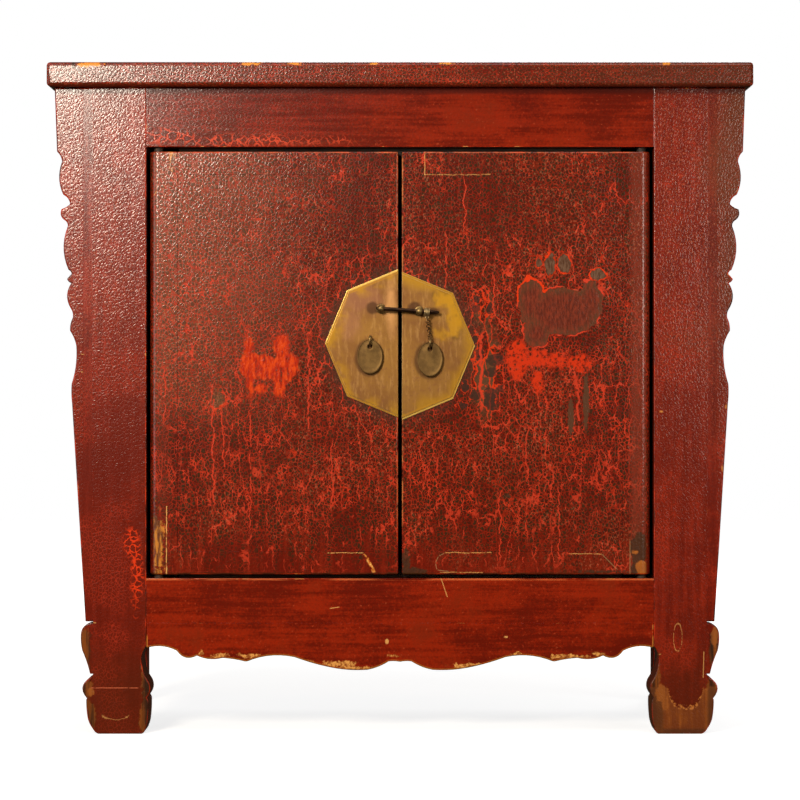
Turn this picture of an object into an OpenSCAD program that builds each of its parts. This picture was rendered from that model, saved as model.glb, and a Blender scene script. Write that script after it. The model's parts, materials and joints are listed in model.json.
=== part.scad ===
// Lacquered two-door sideboard, in millimetres. The origin is on the floor under the middle of
// the top, the doors face -Y and Z points up. Pieces that come in pairs are drawn on the right,
// at positive X, and mirrored for the left.

/* [Overall] */
// Length of the top slab
top_length = 916; // [860:2:1000]
// Depth of the top slab
top_depth = 460; // [420:2:520]
// Height of the sideboard
height = 872; // [820:2:940]

/* [Top slab] */
// Thickness of the top slab
top_thick = 32; // [28:1:40]
// Width of the slab's mitred frame bars
top_bar = 72; // [66:1:86]
// Radius of the slab's softened edges
top_round = 6; // [3:0.5:9]
// Thickness of the panel inside the frame
top_panel_thick = 14; // [12:1:17]
// Thickness of the tongue round that panel
top_tongue = 7; // [5:0.5:9]
// Slab overhang in front of the frame
front_overhang = 16; // [15:1:30]
// Slab overhang behind the frame
back_overhang = 5; // [2:1:12]
// Slab overhang beside the wings
side_overhang = 9; // [4:1:16]
// Height of the two battens under the panel
batten_high = 12; // [8:1:16]
// Width of the two battens under the panel
batten_wide = 34; // [24:1:50]
// Distance of each top batten from the middle
batten_reach = 150; // [100:5:200]

/* [Front frame] */
// Width of a front leg
leg_width = 69; // [64:1:80]
// Depth of a front leg
leg_depth = 56; // [52:1:70]
// Height of the top rail
top_rail_high = 77; // [60:1:100]
// Thickness of the top rail
top_rail_thick = 34; // [34:1:46]
// Height of the bottom rail
bottom_rail_high = 58; // [48:1:76]
// Thickness of the bottom rail
bottom_rail_thick = 46; // [42:1:50]
// Height of the bottom rail's lower edge above the floor
rail_floor = 144; // [142:1:170]
// Thickness of the carved front apron
apron_thick = 24; // [18:1:30]
// Height of the apron at its deepest lobe
apron_high = 61.5; // [56:0.5:62]

/* [Wings] */
// Width of a wing at its top
wing_width = 50; // [47:1:60]
// Thickness of a wing
wing_thick = 24; // [20:1:30]
// Gap between a wing's lower end and the leaf under it
leaf_gap = 2; // [1:0.5:4]

/* [Rear frame and sides] */
// Width of a rear leg
rear_leg_width = 36; // [34:1:46]
// Depth of a rear leg
rear_leg_depth = 40; // [38:1:50]
// Height of the top rails at the sides and the back
side_rail_high = 60; // [46:1:76]
// Thickness of the side rails
side_rail_thick = 24; // [20:1:28]
// Distance of the side frame from the front leg's outer face
side_inset = 4; // [2:1:6]
// Thickness of the back rails
back_rail_thick = 22; // [18:1:24]
// Distance of the back frame from the rear legs' back
back_inset = 5; // [3:1:8]
// Width of the upright in the middle of the back
muntin_wide = 36; // [30:1:50]
// Thickness of the side and back panels
panel_thick = 8; // [6:0.5:10]
// Depth of every panel groove
groove_depth = 8; // [6:0.5:9]
// Height of the side aprons
side_apron_high = 40; // [30:1:50]
// Thickness of the side aprons
side_apron_thick = 18; // [14:1:20]

/* [Inside] */
// Thickness of the floor and shelf boards
board_thick = 12; // [10:1:16]
// Drop of the floor boards below the opening
floor_drop = 6; // [4:1:10]
// Number of floor boards and of shelf boards
board_count = 3; // [2:1:4]
// Height of the shelf above the opening's lower edge
shelf_rise = 284; // [240:1:320]
// Distance of the shelf's front edge behind the front legs
shelf_setback = 6; // [3:1:60]
// Height of the shelf bearers and the floor bearer
bearer_high = 24; // [20:1:30]
// Width of the shelf bearers
bearer_wide = 14; // [12:1:18]
// Width of the floor bearer
floor_bearer_wide = 40; // [30:1:60]
// Depth and height of the door stops
stop_size = 11; // [10:0.5:12]

/* [Doors] */
// Thickness of a door
door_thick = 22; // [20:0.5:24]
// Depth of the door's face behind the frame's face
door_recess = 1; // [0.5:0.5:3]
// Gap between a door and the leg beside it
hinge_gap = 4.5; // [3.5:0.5:6]
// Gap between the two doors
centre_gap = 5; // [4:0.5:7]
// Gap above a door
door_top_gap = 6; // [5:0.5:8]
// Gap under a door
door_bottom_gap = 5; // [4:0.5:6]
// Width of the stile with the pivots
hinge_stile_wide = 36; // [32:1:44]
// Width of the stile at the middle
lock_stile_wide = 32; // [31:0.5:33]
// Height of the door's rails
door_rail_high = 30; // [24:1:40]
// Thickness of the door's panel
door_panel_thick = 14; // [12:0.5:15]
// Thickness of the panel's tongue and of the rails' tenons
door_tongue = 6; // [5:0.5:7]
// Height of a door batten
door_batten_high = 28; // [22:1:36]
// Distance of a door batten from the door's end
door_batten_inset = 120; // [90:5:150]

/* [Pivots] */
// Radius of a door's wooden pivots
pivot_radius = 6; // [5:0.5:7]
// Length of the lower pivot inside its socket
pivot_foot = 5; // [4:0.5:8]
// Length of the upper pivot inside its socket
pivot_head = 12; // [10:0.5:14]
// Running gap round a pivot
pivot_gap = 0.1; // [0.05:0.01:0.15]
// Gap under the lower pivot
pivot_seat = 0.3; // [0.2:0.05:0.5]

/* [Hardware] */
// Distance from the brass plate's middle to its corners
plate_radius = 97.5; // [90:0.5:105]
// Thickness of the plate
plate_thick = 2; // [1.5:0.1:2.5]
// Width of the plate's bevelled rim
plate_rim = 3; // [2:0.5:5]
// Height of the plate's middle above the opening's lower edge
plate_rise = 304; // [290:1:320]
// Drop of the right door's hardware below the left door's
sag = 3.4; // [2:0.1:5]
// Distance of each eye post from the middle
post_reach = 25; // [23.5:0.5:26]
// Height of the eye posts above the plate's middle
post_rise = 45; // [42:0.5:50]
// Radius of an eye post's ball
ball_radius = 5; // [4.5:0.1:5.2]
// Distance of the ball's middle in front of the plate
ball_reach = 8.5; // [8:0.1:9]
// Radius of an eye post's round foot
post_foot_radius = 6.5; // [5.5:0.1:7]
// Thickness of that foot
post_foot_thick = 1.5; // [1:0.1:2]
// Radius of a post's shank
shank_radius = 1.8; // [1.5:0.1:2]
// Radius of the lock pin
pin_radius = 2.5; // [2.2:0.1:2.6]
// Gap between the pin and the eyes that it runs through
pin_gap = 0.3; // [0.25:0.05:0.5]
// Length of the pin left of the middle
pin_left = 31; // [30:0.5:34]
// Length of the pin right of the middle
pin_right = 51; // [48:0.5:60]
// Length of the pin's tapered end
pin_taper = 8; // [4:0.5:9]
// Radius of the pin's tip
pin_tip = 1.7; // [1.3:0.1:2]
// Distance of each pull from the middle
pull_reach = 39; // [37.5:0.5:44]
// Drop of a pull's hole below the plate's middle
pull_drop = 4; // [2:0.5:8]
// Width of an oval pull
pull_wide = 33; // [28:0.5:35]
// Height of an oval pull
pull_high = 45; // [40:0.5:50]
// Thickness of an oval pull
pull_thick = 1.6; // [1.2:0.1:2]
// Radius of a pull's hole
pull_hole = 3; // [2.8:0.1:3.3]
// Distance of that hole's middle from the pull's upper edge
pull_hole_edge = 9; // [7.5:0.5:10]
// Distance of the pulls in front of the plate
pull_stand = 4.6; // [4:0.1:5]
// Radius of a pull's ring, at the middle of its wire
ring_radius = 6.2; // [5.8:0.1:6.6]
// Radius of the ring's wire
ring_wire = 1.2; // [1:0.1:1.3]
// Gap between a ring's wire and what hangs on it
hang_gap = 0.3; // [0.2:0.05:0.4]

/* [Chain] */
// Distance of the bead from the middle
bead_reach = 35; // [34:0.5:36]
// Radius of the bead
bead_radius = 5.8; // [5.6:0.1:6.2]
// Length of the bead along the pin
bead_long = 8; // [6:0.5:8.5]
// Radius of the bead's bore
bead_bore = 3.4; // [3.3:0.05:3.6]
// Drop of the bead below the pin's own line
bead_drop = 0.4; // [0.3:0.05:0.5]
// Radius of the loop under the bead
loop_radius = 1.8; // [1.7:0.05:2]
// Radius of a chain link, at the middle of its wire
link_radius = 1.6; // [1.55:0.01:1.65]
// Radius of the chain's wire
link_wire = 0.45; // [0.4:0.01:0.47]
// Distance that the chain gains with each link
link_pitch = 2.2; // [2.15:0.01:2.25]
// Radius of the larger link on the pull's ring
end_link_radius = 2.4; // [2.3:0.05:2.6]

/* [Joinery] */
// Gap round every fixed tenon and tongue
joint_gap = 0.25; // [0.15:0.05:0.4]
// Length of the front rails' tenons
front_tenon = 24; // [18:1:28]
// Length of the side and back rails' tenons
tenon = 12; // [10:1:13]
// Thickness of the tenons
tenon_thick = 10; // [8:0.5:12]
// Height of the tenons on top of the legs
leg_tenon = 10; // [8:0.5:12]
// Depth of the wing's and the apron's tongues
tongue = 6; // [4:0.5:8]

/* [Hidden] */
$fn = 48;
LEFT = -1;
RIGHT = 1;

lacquer = "#8e2a1b";
bare_wood = "#b58a58";
brass = "#b78a42";
bronze = "#6d5836";

// Planes of the case
top_front = -top_depth / 2;
top_back = top_depth / 2;
top_side = top_length / 2;
under_top = height - top_thick;
frame_front = top_front + front_overhang;
frame_back = top_back - back_overhang;
wing_out = top_side - side_overhang;
leg_out = wing_out - wing_width;
leg_in = leg_out - leg_width;
leg_back = frame_front + leg_depth;
rear_leg_in = leg_out - rear_leg_width;
rear_leg_front = frame_back - rear_leg_depth;
opening_top = under_top - top_rail_high;
opening_bottom = rail_floor + bottom_rail_high;
side_out = leg_out - side_inset;
side_in = side_out - side_rail_thick;
side_middle = side_out - side_rail_thick / 2;
side_rail_bottom = under_top - side_rail_high;
back_face = frame_back - back_inset;
back_inner = back_face - back_rail_thick;
back_middle = back_face - back_rail_thick / 2;
floor_top = opening_bottom - floor_drop;
floor_bottom = floor_top - board_thick;
floor_side = side_in + (side_rail_thick - panel_thick) / 2 - 2;
floor_back = back_inner + (back_rail_thick - panel_thick) / 2 - 2;
shelf_bottom = opening_bottom + shelf_rise;
shelf_top = shelf_bottom + board_thick;
shelf_front = leg_back + shelf_setback;
shelf_back = rear_leg_front - joint_gap;
shelf_side = side_middle - panel_thick / 2 - joint_gap;

// Planes of the top slab
top_panel_bottom = height - top_panel_thick;
top_tongue_reach = groove_depth;

// Planes of the doors
door_front = frame_front + door_recess;
door_back = door_front + door_thick;
door_bottom = opening_bottom + door_bottom_gap;
door_top = opening_top - door_top_gap;
door_hinge_edge = leg_in - hinge_gap;
door_lock_edge = centre_gap / 2;
pivot_x = door_hinge_edge - door_thick / 2;
pivot_y = door_front + door_thick / 2;
hinge_stile_in = door_hinge_edge - hinge_stile_wide;
lock_stile_in = door_lock_edge + lock_stile_wide;
panel_back = door_front + door_panel_thick;
door_tongue_front = panel_back - door_tongue;
stop_front = door_back + 0.5;
stop_half = hinge_stile_in;

// Planes and points of the hardware
plate_front = door_front - plate_thick;
ball_y = plate_front - ball_reach;
ring_y = plate_front - pull_stand;
pin_tilt = atan(sag / (2 * post_reach));
pin_middle = plate_height(0) + post_rise;
pull_hang = pull_hole - ring_wire - hang_gap;
ring_leg = sqrt(ring_radius * ring_radius - pull_stand * pull_stand);
octagon_turn = 22.5;
bead_z = pin_height(bead_reach) - bead_drop;
bead_middle = [bead_reach, ball_y, bead_z];
loop_middle = bead_middle - [0, 0, bead_radius + loop_radius / 2];
end_link_lift = end_link_radius - link_wire - ring_wire - hang_gap;
chain_foot = [pull_reach, ring_y, ring_height(RIGHT) + ring_radius + end_link_lift];
chain_run = loop_middle - chain_foot;
first_step = end_link_radius + link_radius - 2 * link_wire - 0.1;
last_step = loop_radius + link_radius - 2 * link_wire - 0.1;
links = 1 + round((norm(chain_run) - first_step - last_step) / link_pitch);
link_step = (norm(chain_run) - first_step - last_step) / (links - 1);

// Height of the plate's middle on a side, where 0 is the mean of both
function plate_height(side) = opening_bottom + plate_rise - side * sag / 2;

// Height of the middle of a pull's ring
function ring_height(side) = plate_height(side) - pull_drop + pull_hang + ring_radius;

// Height of the pin's line at a distance from the middle
function pin_height(x) = pin_middle - x * tan(pin_tilt);

// Points of a bow from a to b, whose middle stands off by rise to the left of the way
function bow(a, b, rise, steps = 7) =
    rise == 0 ? [b] :
    let (way = b - a, left = [-way.y, way.x] / norm(way))
    [for (i = [1 : steps]) let (t = i / steps) a + t * way + 4 * rise * t * (1 - t) * left];

// Outline through rows of [x, z, rise], where rise shapes the bow that ends at the row
function outline(rows) = [
    [rows[0].x, rows[0].y],
    for (i = [1 : len(rows) - 1])
        each bow([rows[i - 1].x, rows[i - 1].y], [rows[i].x, rows[i].y], rows[i].z)
];

// The wing's carved edge from the top down: [inset, drop below the slab, rise outwards]
wing_edge = [
    [0, 0, 0], [3, 83, 0], [9.5, 96, -1.5], [11, 139, 4.5], [20, 151, -2],
    [9, 157.5, -1], [14, 173, 3.5], [17, 180, -1], [18, 237, 6], [22, 242, -1],
    [16, 248.5, 0], [21.5, 254, 1], [21.5, 288, 5.5], [23.5, 299, -1], [20, 316, 1.2],
    [28, 335, -1], [22, 385, -2.5], [22.5, 410, 0.6]
];
wing_foot_inset = 40;

// The foot's outer edge going down: [distance beyond the leg's outer face, height, rise]
foot_outer = [
    [0, 77, 0], [4, 73, -0.5], [8, 46, 8], [9, 43, 0.4], [7, 20, 0.5], [0, 6, 0.8], [-7, 0, 1]
];

// The foot's inner edge going up: [distance from the leg's inner face, height, rise]
foot_inner = [
    [6, 0, 0], [1, 6, 1], [-2, 18, 0.5], [-3, 43, 0.4], [-1, 47, 0], [-3, 68, 3.5],
    [5, 88, -1.5], [0, 114, -3.5]
];

// The leaf's edge going down: [distance beyond the leg's outer face, height, rise]
leaf_edge = [[4, 144, 0], [16, 129, 3.5], [14, 108, 0.8], [4, 78, -0.8]];

// The apron's edge from the leg to the middle: [share of the half width, rise of the edge above
// the deepest lobe, rise of the bow]
apron_edge = [
    [1, 29, 0], [0.88, 25.5, -4], [0.8, 19, 6], [0.7, 16, 3], [0.606, 11, -0.8],
    [0.415, 17, -5], [0.27, 3.5, 1], [0.13, 0.5, 1.5], [0.045, 11.5, 1.5], [0, 11, -0.6]
];

// The side apron's edge from its front end to its middle, written the same way
side_apron_edge = [[1, 0, 0], [0.86, 14, 3], [0.8, 10, -1.5], [0, 22, 5]];

// Block between two opposite corners, grown on all sides
module block(from, to, grow = 0) {
    translate(from - grow * [1, 1, 1])
        cube(to - from + 2 * grow * [1, 1, 1]);
}

// Turns a shape drawn in X and Z into a plate between two depths
module upright(front, back) {
    translate([0, back, 0])
        rotate([90, 0, 0])
            linear_extrude(back - front)
                children();
}

// Turns a shape drawn in Y and Z into a plate between two distances from the middle
module sideways(inner, outer) {
    translate([inner, 0, 0])
        rotate([90, 0, 90])
            linear_extrude(outer - inner)
                children();
}

// Draws the children on a side
module on(side) {
    if (side == LEFT)
        mirror([1, 0, 0]) children();
    else
        children();
}

// Draws the children on both sides
module both() {
    children();
    mirror([1, 0, 0]) children();
}

// The top slab: four mitred bars, a panel with a tongue and two battens under it

module top_bar_shape() {
    groove_bottom = top_panel_bottom - under_top;
    difference() {
        union() {
            translate([0, top_round])
                square([top_bar, top_thick - 2 * top_round]);
            translate([top_round, 0])
                square([top_bar - top_round, top_thick]);
            translate([top_round, top_round])
                circle(top_round);
            translate([top_round, top_thick - top_round])
                circle(top_round);
        }
        translate([top_bar - groove_depth - joint_gap, groove_bottom - joint_gap])
            square([groove_depth + 1, top_tongue + 2 * joint_gap]);
    }
}

module slab_outline() {
    half = [top_side - top_round, top_depth / 2 - top_round];
    square([2 * half.x, top_depth], center = true);
    square([top_length, 2 * half.y], center = true);
    for (x = [-1, 1], y = [-1, 1])
        translate([x * half.x, y * half.y])
            circle(top_round);
}

// A bar along the slab's front, of a given slab length and distance of its outer edge
module mitred_bar(length, edge) {
    half = length / 2;
    intersection() {
        translate([-half, -edge, under_top])
            rotate([90, 0, 90])
                linear_extrude(length)
                    top_bar_shape();
        translate([0, -edge, under_top - 1])
            linear_extrude(top_thick + 2)
                polygon([[-half, 0], [half, 0], [half - top_bar, top_bar], [top_bar - half, top_bar]]);
    }
}

module top_long_bar() {
    color(lacquer)
    difference() {
        intersection() {
            mitred_bar(top_length, top_depth / 2);
            translate([0, 0, under_top - 1])
                linear_extrude(top_thick + 2)
                    slab_outline();
        }
        both() front_leg_top(joint_gap);
        both() top_batten_tenon(joint_gap);
    }
}

module top_frame_front() {
    top_long_bar();
}

module top_frame_back() {
    color(lacquer)
    difference() {
        intersection() {
            mirror([0, 1, 0]) mitred_bar(top_length, top_depth / 2);
            translate([0, 0, under_top - 1])
                linear_extrude(top_thick + 2)
                    slab_outline();
        }
        both() rear_leg_top(joint_gap);
        mirror([0, 1, 0]) both() top_batten_tenon(joint_gap);
    }
}

module top_short_bar(side) {
    color(lacquer)
    on(side)
        intersection() {
            rotate([0, 0, 90]) mitred_bar(top_depth, top_side);
            translate([0, 0, under_top - 1])
                linear_extrude(top_thick + 2)
                    slab_outline();
        }
}

module top_panel() {
    inner = [top_side - top_bar - joint_gap, top_depth / 2 - top_bar - joint_gap];
    reach = groove_depth * [1, 1];
    color(lacquer) {
        block([-inner.x, -inner.y, top_panel_bottom], [inner.x, inner.y, height]);
        block([-inner.x - reach.x, -inner.y - reach.y, top_panel_bottom],
              [inner.x + reach.x, inner.y + reach.y, top_panel_bottom + top_tongue]);
    }
}

module top_batten_tenon(grow = 0) {
    edge = top_front + top_bar;
    block([batten_reach - batten_wide / 2 + 5, edge - tenon, top_panel_bottom - batten_high],
          [batten_reach + batten_wide / 2 - 5, edge + 1, top_panel_bottom - 3], grow);
}

module top_battens() {
    edge = top_depth / 2 - top_bar;
    color(bare_wood)
    both() {
        block([batten_reach - batten_wide / 2, -edge, top_panel_bottom - batten_high],
              [batten_reach + batten_wide / 2, edge, top_panel_bottom]);
        top_batten_tenon();
        mirror([0, 1, 0]) top_batten_tenon();
    }
}

// Tenons and tongues, drawn on the right, which the pieces that take them cut out with a gap

module front_leg_top(grow = 0) {
    block([leg_in + 15, frame_front + 14, under_top - 1],
          [leg_out - 24, leg_back - 16, under_top + leg_tenon], grow);
}

module rear_leg_top(grow = 0) {
    block([rear_leg_in + 9, rear_leg_front + 12, under_top - 1],
          [leg_out - 9, frame_back - 12, under_top + leg_tenon], grow);
}

module front_tenons(grow = 0) {
    middle = frame_front + 17;
    for (span = [[rail_floor + 8, opening_bottom - 8], [opening_top + 10, under_top - 12]])
        block([leg_in - 1, middle - tenon_thick / 2, span[0]],
              [leg_in + front_tenon, middle + tenon_thick / 2, span[1]], grow);
}

module side_tenon(low, high, grow = 0) {
    block([side_middle - tenon_thick / 2, leg_back - tenon, low + 6],
          [side_middle + tenon_thick / 2, rear_leg_front + tenon, high - 6], grow);
}

module back_tenon(low, high, grow = 0) {
    block([rear_leg_in - 1, back_middle - tenon_thick / 2, low + 6],
          [rear_leg_in + tenon, back_middle + tenon_thick / 2, high - 6], grow);
}

module side_panel_shape(grow = 0) {
    block([side_middle - panel_thick / 2, leg_back - groove_depth, opening_bottom - groove_depth],
          [side_middle + panel_thick / 2, rear_leg_front + groove_depth,
           side_rail_bottom + groove_depth], grow);
}

module back_panel_shape(grow = 0) {
    block([muntin_wide / 2 - groove_depth, back_middle - panel_thick / 2,
           opening_bottom - groove_depth],
          [rear_leg_in + groove_depth, back_middle + panel_thick / 2,
           side_rail_bottom + groove_depth], grow);
}

module shelf_bearer_shape(grow = 0) {
    block([shelf_side - bearer_wide, leg_back - tongue, shelf_bottom - bearer_high],
          [shelf_side, rear_leg_front + tongue, shelf_bottom], grow);
}

module wing_tongue(grow = 0) {
    middle = frame_front + wing_thick / 2;
    block([leg_out - tongue, middle - wing_thick / 6, opening_bottom],
          [leg_out + 1, middle + wing_thick / 6, opening_top], grow);
}

module apron_tongue(grow = 0) {
    middle = frame_front + apron_thick / 2;
    block([20 - leg_in, middle - apron_thick / 6, rail_floor - 1],
          [leg_in - 20, middle + apron_thick / 6, rail_floor + tongue], grow);
}

module floor_bearer_tenon(grow = 0) {
    block([-floor_bearer_wide / 2 + 6, frame_front + bottom_rail_thick - tenon,
           floor_bottom - bearer_high + 4],
          [floor_bearer_wide / 2 - 6, back_inner + tenon, floor_bottom - 4], grow);
}

module floor_shape(grow = 0) {
    block([-floor_side, frame_front + bottom_rail_thick - groove_depth, floor_bottom],
          [floor_side, floor_back, floor_top], grow);
}

// Legs, wings and leaves

module front_leg(side) {
    outer = [for (row = foot_outer) [leg_out + row.x, row.y, row.z]];
    inner = [for (row = foot_inner) [leg_in + row.x, row.y, row.z]];
    edge = concat([[leg_out, under_top, 0]], outer, inner, [[leg_in, under_top, 0]]);
    color(lacquer)
    on(side)
        difference() {
            union() {
                upright(frame_front, leg_back)
                    polygon(outline(edge));
                front_leg_top();
            }
            front_tenons(joint_gap);
            side_tenon(rail_floor, opening_bottom, joint_gap);
            side_tenon(side_rail_bottom, under_top, joint_gap);
            side_panel_shape(joint_gap);
            shelf_bearer_shape(joint_gap);
            wing_tongue(joint_gap);
        }
}

module rear_leg(side) {
    color(lacquer)
    on(side)
        difference() {
            union() {
                block([rear_leg_in, rear_leg_front, 0], [leg_out, frame_back, under_top]);
                rear_leg_top();
            }
            side_tenon(rail_floor, opening_bottom, joint_gap);
            side_tenon(side_rail_bottom, under_top, joint_gap);
            back_tenon(rail_floor, opening_bottom, joint_gap);
            back_tenon(side_rail_bottom, under_top, joint_gap);
            side_panel_shape(joint_gap);
            back_panel_shape(joint_gap);
            shelf_bearer_shape(joint_gap);
        }
}

module wing(side) {
    carved = [for (row = wing_edge) [wing_out - row.x, under_top - row.y, row.z]];
    foot = rail_floor + leaf_gap;
    rest = [[wing_out - wing_foot_inset, foot, 0], [leg_out, foot, 0], [leg_out, under_top, 0]];
    color(lacquer)
    on(side) {
        upright(frame_front, frame_front + wing_thick)
            polygon(outline(concat(carved, rest)));
        wing_tongue();
    }
}

module leaf(side) {
    carved = [for (row = leaf_edge) [leg_out + row.x, row.y, row.z]];
    edge = concat(carved, [[leg_out, 78, 0], [leg_out, 144, 0]]);
    color(lacquer)
    on(side)
        upright(frame_front, frame_front + wing_thick)
            polygon(outline(edge));
}

// Front rails and apron

module front_top_rail() {
    color(lacquer)
    difference() {
        union() {
            block([-leg_in, frame_front, opening_top],
                  [leg_in, frame_front + top_rail_thick, under_top]);
            intersection() {
                both() front_tenons();
                block([-leg_out, top_front, opening_top], [leg_out, 0, under_top]);
            }
        }
        both()
            translate([pivot_x, pivot_y, opening_top - 1])
                cylinder(pivot_head + 3, r = pivot_radius + pivot_gap);
    }
}

module front_bottom_rail() {
    color(lacquer)
    difference() {
        union() {
            block([-leg_in, frame_front, rail_floor],
                  [leg_in, frame_front + bottom_rail_thick, opening_bottom]);
            intersection() {
                both() front_tenons();
                block([-leg_out, top_front, rail_floor], [leg_out, 0, opening_bottom]);
            }
        }
        both()
            translate([pivot_x, pivot_y, opening_bottom - pivot_foot - pivot_seat])
                cylinder(pivot_foot + pivot_seat + 1, r = pivot_radius + pivot_gap);
        floor_shape(joint_gap);
        floor_bearer_tenon(joint_gap);
        apron_tongue(joint_gap);
    }
}

module front_apron() {
    low = rail_floor - apron_high;
    edge = [for (row = apron_edge) [row.x * leg_in, low + row.y, row.z]];
    half = outline(edge);
    other = [for (i = [len(half) - 2 : -1 : 0]) [-half[i].x, half[i].y]];
    color(lacquer) {
        upright(frame_front, frame_front + apron_thick)
            polygon(concat(half, other, [[-leg_in, rail_floor], [leg_in, rail_floor]]));
        apron_tongue();
    }
}

// Side frames

module side_rail(side, low, high) {
    color(lacquer)
    on(side)
        difference() {
            union() {
                block([side_in, leg_back, low], [side_out, rear_leg_front, high]);
                side_tenon(low, high);
            }
            side_panel_shape(joint_gap);
            floor_shape(joint_gap);
        }
}

module side_panel(side) {
    color(lacquer)
    on(side)
        side_panel_shape();
}

module side_apron(side) {
    middle = (leg_back + rear_leg_front) / 2;
    reach = (rear_leg_front - leg_back) / 2;
    low = rail_floor - side_apron_high;
    edge = [for (row = side_apron_edge) [row.x * reach, low + row.y, row.z]];
    half = outline(edge);
    other = [for (i = [len(half) - 2 : -1 : 0]) [-half[i].x, half[i].y]];
    color(lacquer)
    on(side)
        translate([0, middle, 0])
            sideways(side_middle - side_apron_thick / 2, side_middle + side_apron_thick / 2)
                polygon(concat(half, other, [[-reach, rail_floor], [reach, rail_floor]]));
}

// Back

module back_rail(low, high) {
    color(bare_wood)
    difference() {
        union() {
            block([-rear_leg_in, back_inner, low], [rear_leg_in, back_face, high]);
            both() back_tenon(low, high);
        }
        both() back_panel_shape(joint_gap);
        muntin_tongues(joint_gap);
        floor_shape(joint_gap);
        floor_bearer_tenon(joint_gap);
    }
}

module muntin_tongues(grow = 0) {
    block([-muntin_wide / 2 + groove_depth + 2, back_middle - panel_thick / 2,
           opening_bottom - groove_depth],
          [muntin_wide / 2 - groove_depth - 2, back_middle + panel_thick / 2,
           side_rail_bottom + groove_depth], grow);
}

module back_muntin() {
    color(bare_wood)
    difference() {
        union() {
            block([-muntin_wide / 2, back_inner, opening_bottom],
                  [muntin_wide / 2, back_face, side_rail_bottom]);
            muntin_tongues();
        }
        both() back_panel_shape(joint_gap);
    }
}

module back_panel(side) {
    color(bare_wood)
    on(side)
        back_panel_shape();
}

// Inside: boards, bearers and door stops

// Boards side by side across a depth, with a gap between them
module boards(half, front, back, bottom) {
    step = (back - front) / board_count;
    for (i = [0 : board_count - 1])
        block([-half, front + i * step + (i == 0 ? 0 : joint_gap), bottom],
              [half, front + (i + 1) * step, bottom + board_thick]);
}

module floor_boards() {
    front = frame_front + bottom_rail_thick - groove_depth;
    color(bare_wood)
    difference() {
        boards(floor_side, front, floor_back, floor_bottom);
        both() {
            block([leg_in, top_front, floor_bottom - 1], [leg_out, leg_back, floor_top + 1],
                  joint_gap);
            block([rear_leg_in, rear_leg_front, floor_bottom - 1],
                  [leg_out, top_back, floor_top + 1], joint_gap);
        }
    }
}

module floor_bearer() {
    color(bare_wood) {
        block([-floor_bearer_wide / 2, frame_front + bottom_rail_thick, floor_bottom - bearer_high],
              [floor_bearer_wide / 2, back_inner, floor_bottom]);
        floor_bearer_tenon();
    }
}

module shelf_boards() {
    color(bare_wood)
        boards(shelf_side, shelf_front, shelf_back, shelf_bottom);
}

module shelf_bearer(side) {
    color(bare_wood)
    on(side)
        shelf_bearer_shape();
}

module door_stop_top() {
    color(bare_wood)
        block([-stop_half, stop_front, opening_top - stop_size],
              [stop_half, frame_front + top_rail_thick, opening_top]);
}

module door_stop_bottom() {
    color(bare_wood)
        block([-stop_half, stop_front, opening_bottom],
              [stop_half, stop_front + stop_size, opening_bottom + stop_size]);
}

// Doors

// The panel's tongue, which the stiles and rails take in their grooves
module door_panel_tongue(grow = 0) {
    block([lock_stile_in - door_tongue, door_tongue_front, door_bottom + door_rail_high - door_tongue],
          [hinge_stile_in + door_tongue, panel_back, door_top - door_rail_high + door_tongue], grow);
}

module door_rail_tenons(low, grow = 0) {
    block([lock_stile_in - 18, door_tongue_front, low + 5],
          [hinge_stile_in + 18, panel_back, low + door_rail_high - 5], grow);
}

module hinge_stile(side) {
    color(lacquer)
    on(side)
        difference() {
            union() {
                block([hinge_stile_in, door_front, door_bottom], [pivot_x, door_back, door_top]);
                translate([pivot_x, pivot_y, door_bottom])
                    cylinder(door_top - door_bottom, r = door_thick / 2);
                translate([pivot_x, pivot_y, opening_bottom - pivot_foot])
                    cylinder(opening_top + pivot_head - opening_bottom + pivot_foot,
                             r = pivot_radius);
            }
            door_panel_tongue(joint_gap);
            door_rail_tenons(door_bottom, joint_gap);
            door_rail_tenons(door_top - door_rail_high, joint_gap);
        }
}

module lock_stile(side) {
    color(lacquer)
    difference() {
        on(side)
            block([door_lock_edge, door_front, door_bottom], [lock_stile_in, door_back, door_top]);
        on(side) {
            door_panel_tongue(joint_gap);
            door_rail_tenons(door_bottom, joint_gap);
            door_rail_tenons(door_top - door_rail_high, joint_gap);
        }
        post_hole(side);
    }
}

module door_rail(side, low) {
    color(lacquer)
    on(side)
        difference() {
            union() {
                block([lock_stile_in, door_front, low],
                      [hinge_stile_in, door_back, low + door_rail_high]);
                door_rail_tenons(low);
            }
            door_panel_tongue(joint_gap);
        }
}

module door_panel(side) {
    color(lacquer)
    difference() {
        on(side) {
            block([lock_stile_in + joint_gap, door_front, door_bottom + door_rail_high + joint_gap],
                  [hinge_stile_in - joint_gap, panel_back, door_top - door_rail_high - joint_gap]);
            door_panel_tongue();
        }
        ring_holes(side);
    }
}

module door_battens(side) {
    color(bare_wood)
    on(side)
        for (low = [door_bottom + door_batten_inset,
                    door_top - door_batten_inset - door_batten_high])
            block([lock_stile_in + joint_gap, panel_back, low],
                  [hinge_stile_in - joint_gap, door_back, low + door_batten_high]);
}

// Hardware

module post_hole(side) {
    translate([side * post_reach, door_back + 1, plate_height(side) + post_rise])
        rotate([90, 0, 0])
            cylinder(door_thick + plate_thick + 2, r = shank_radius + joint_gap);
}

module ring_holes(side) {
    for (way = [-1, 1])
        translate([side * pull_reach, panel_back + 1, ring_height(side) + way * ring_leg])
            rotate([90, 0, 0])
                cylinder(door_panel_thick + plate_thick + 2, r = ring_wire + joint_gap);
}

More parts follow.
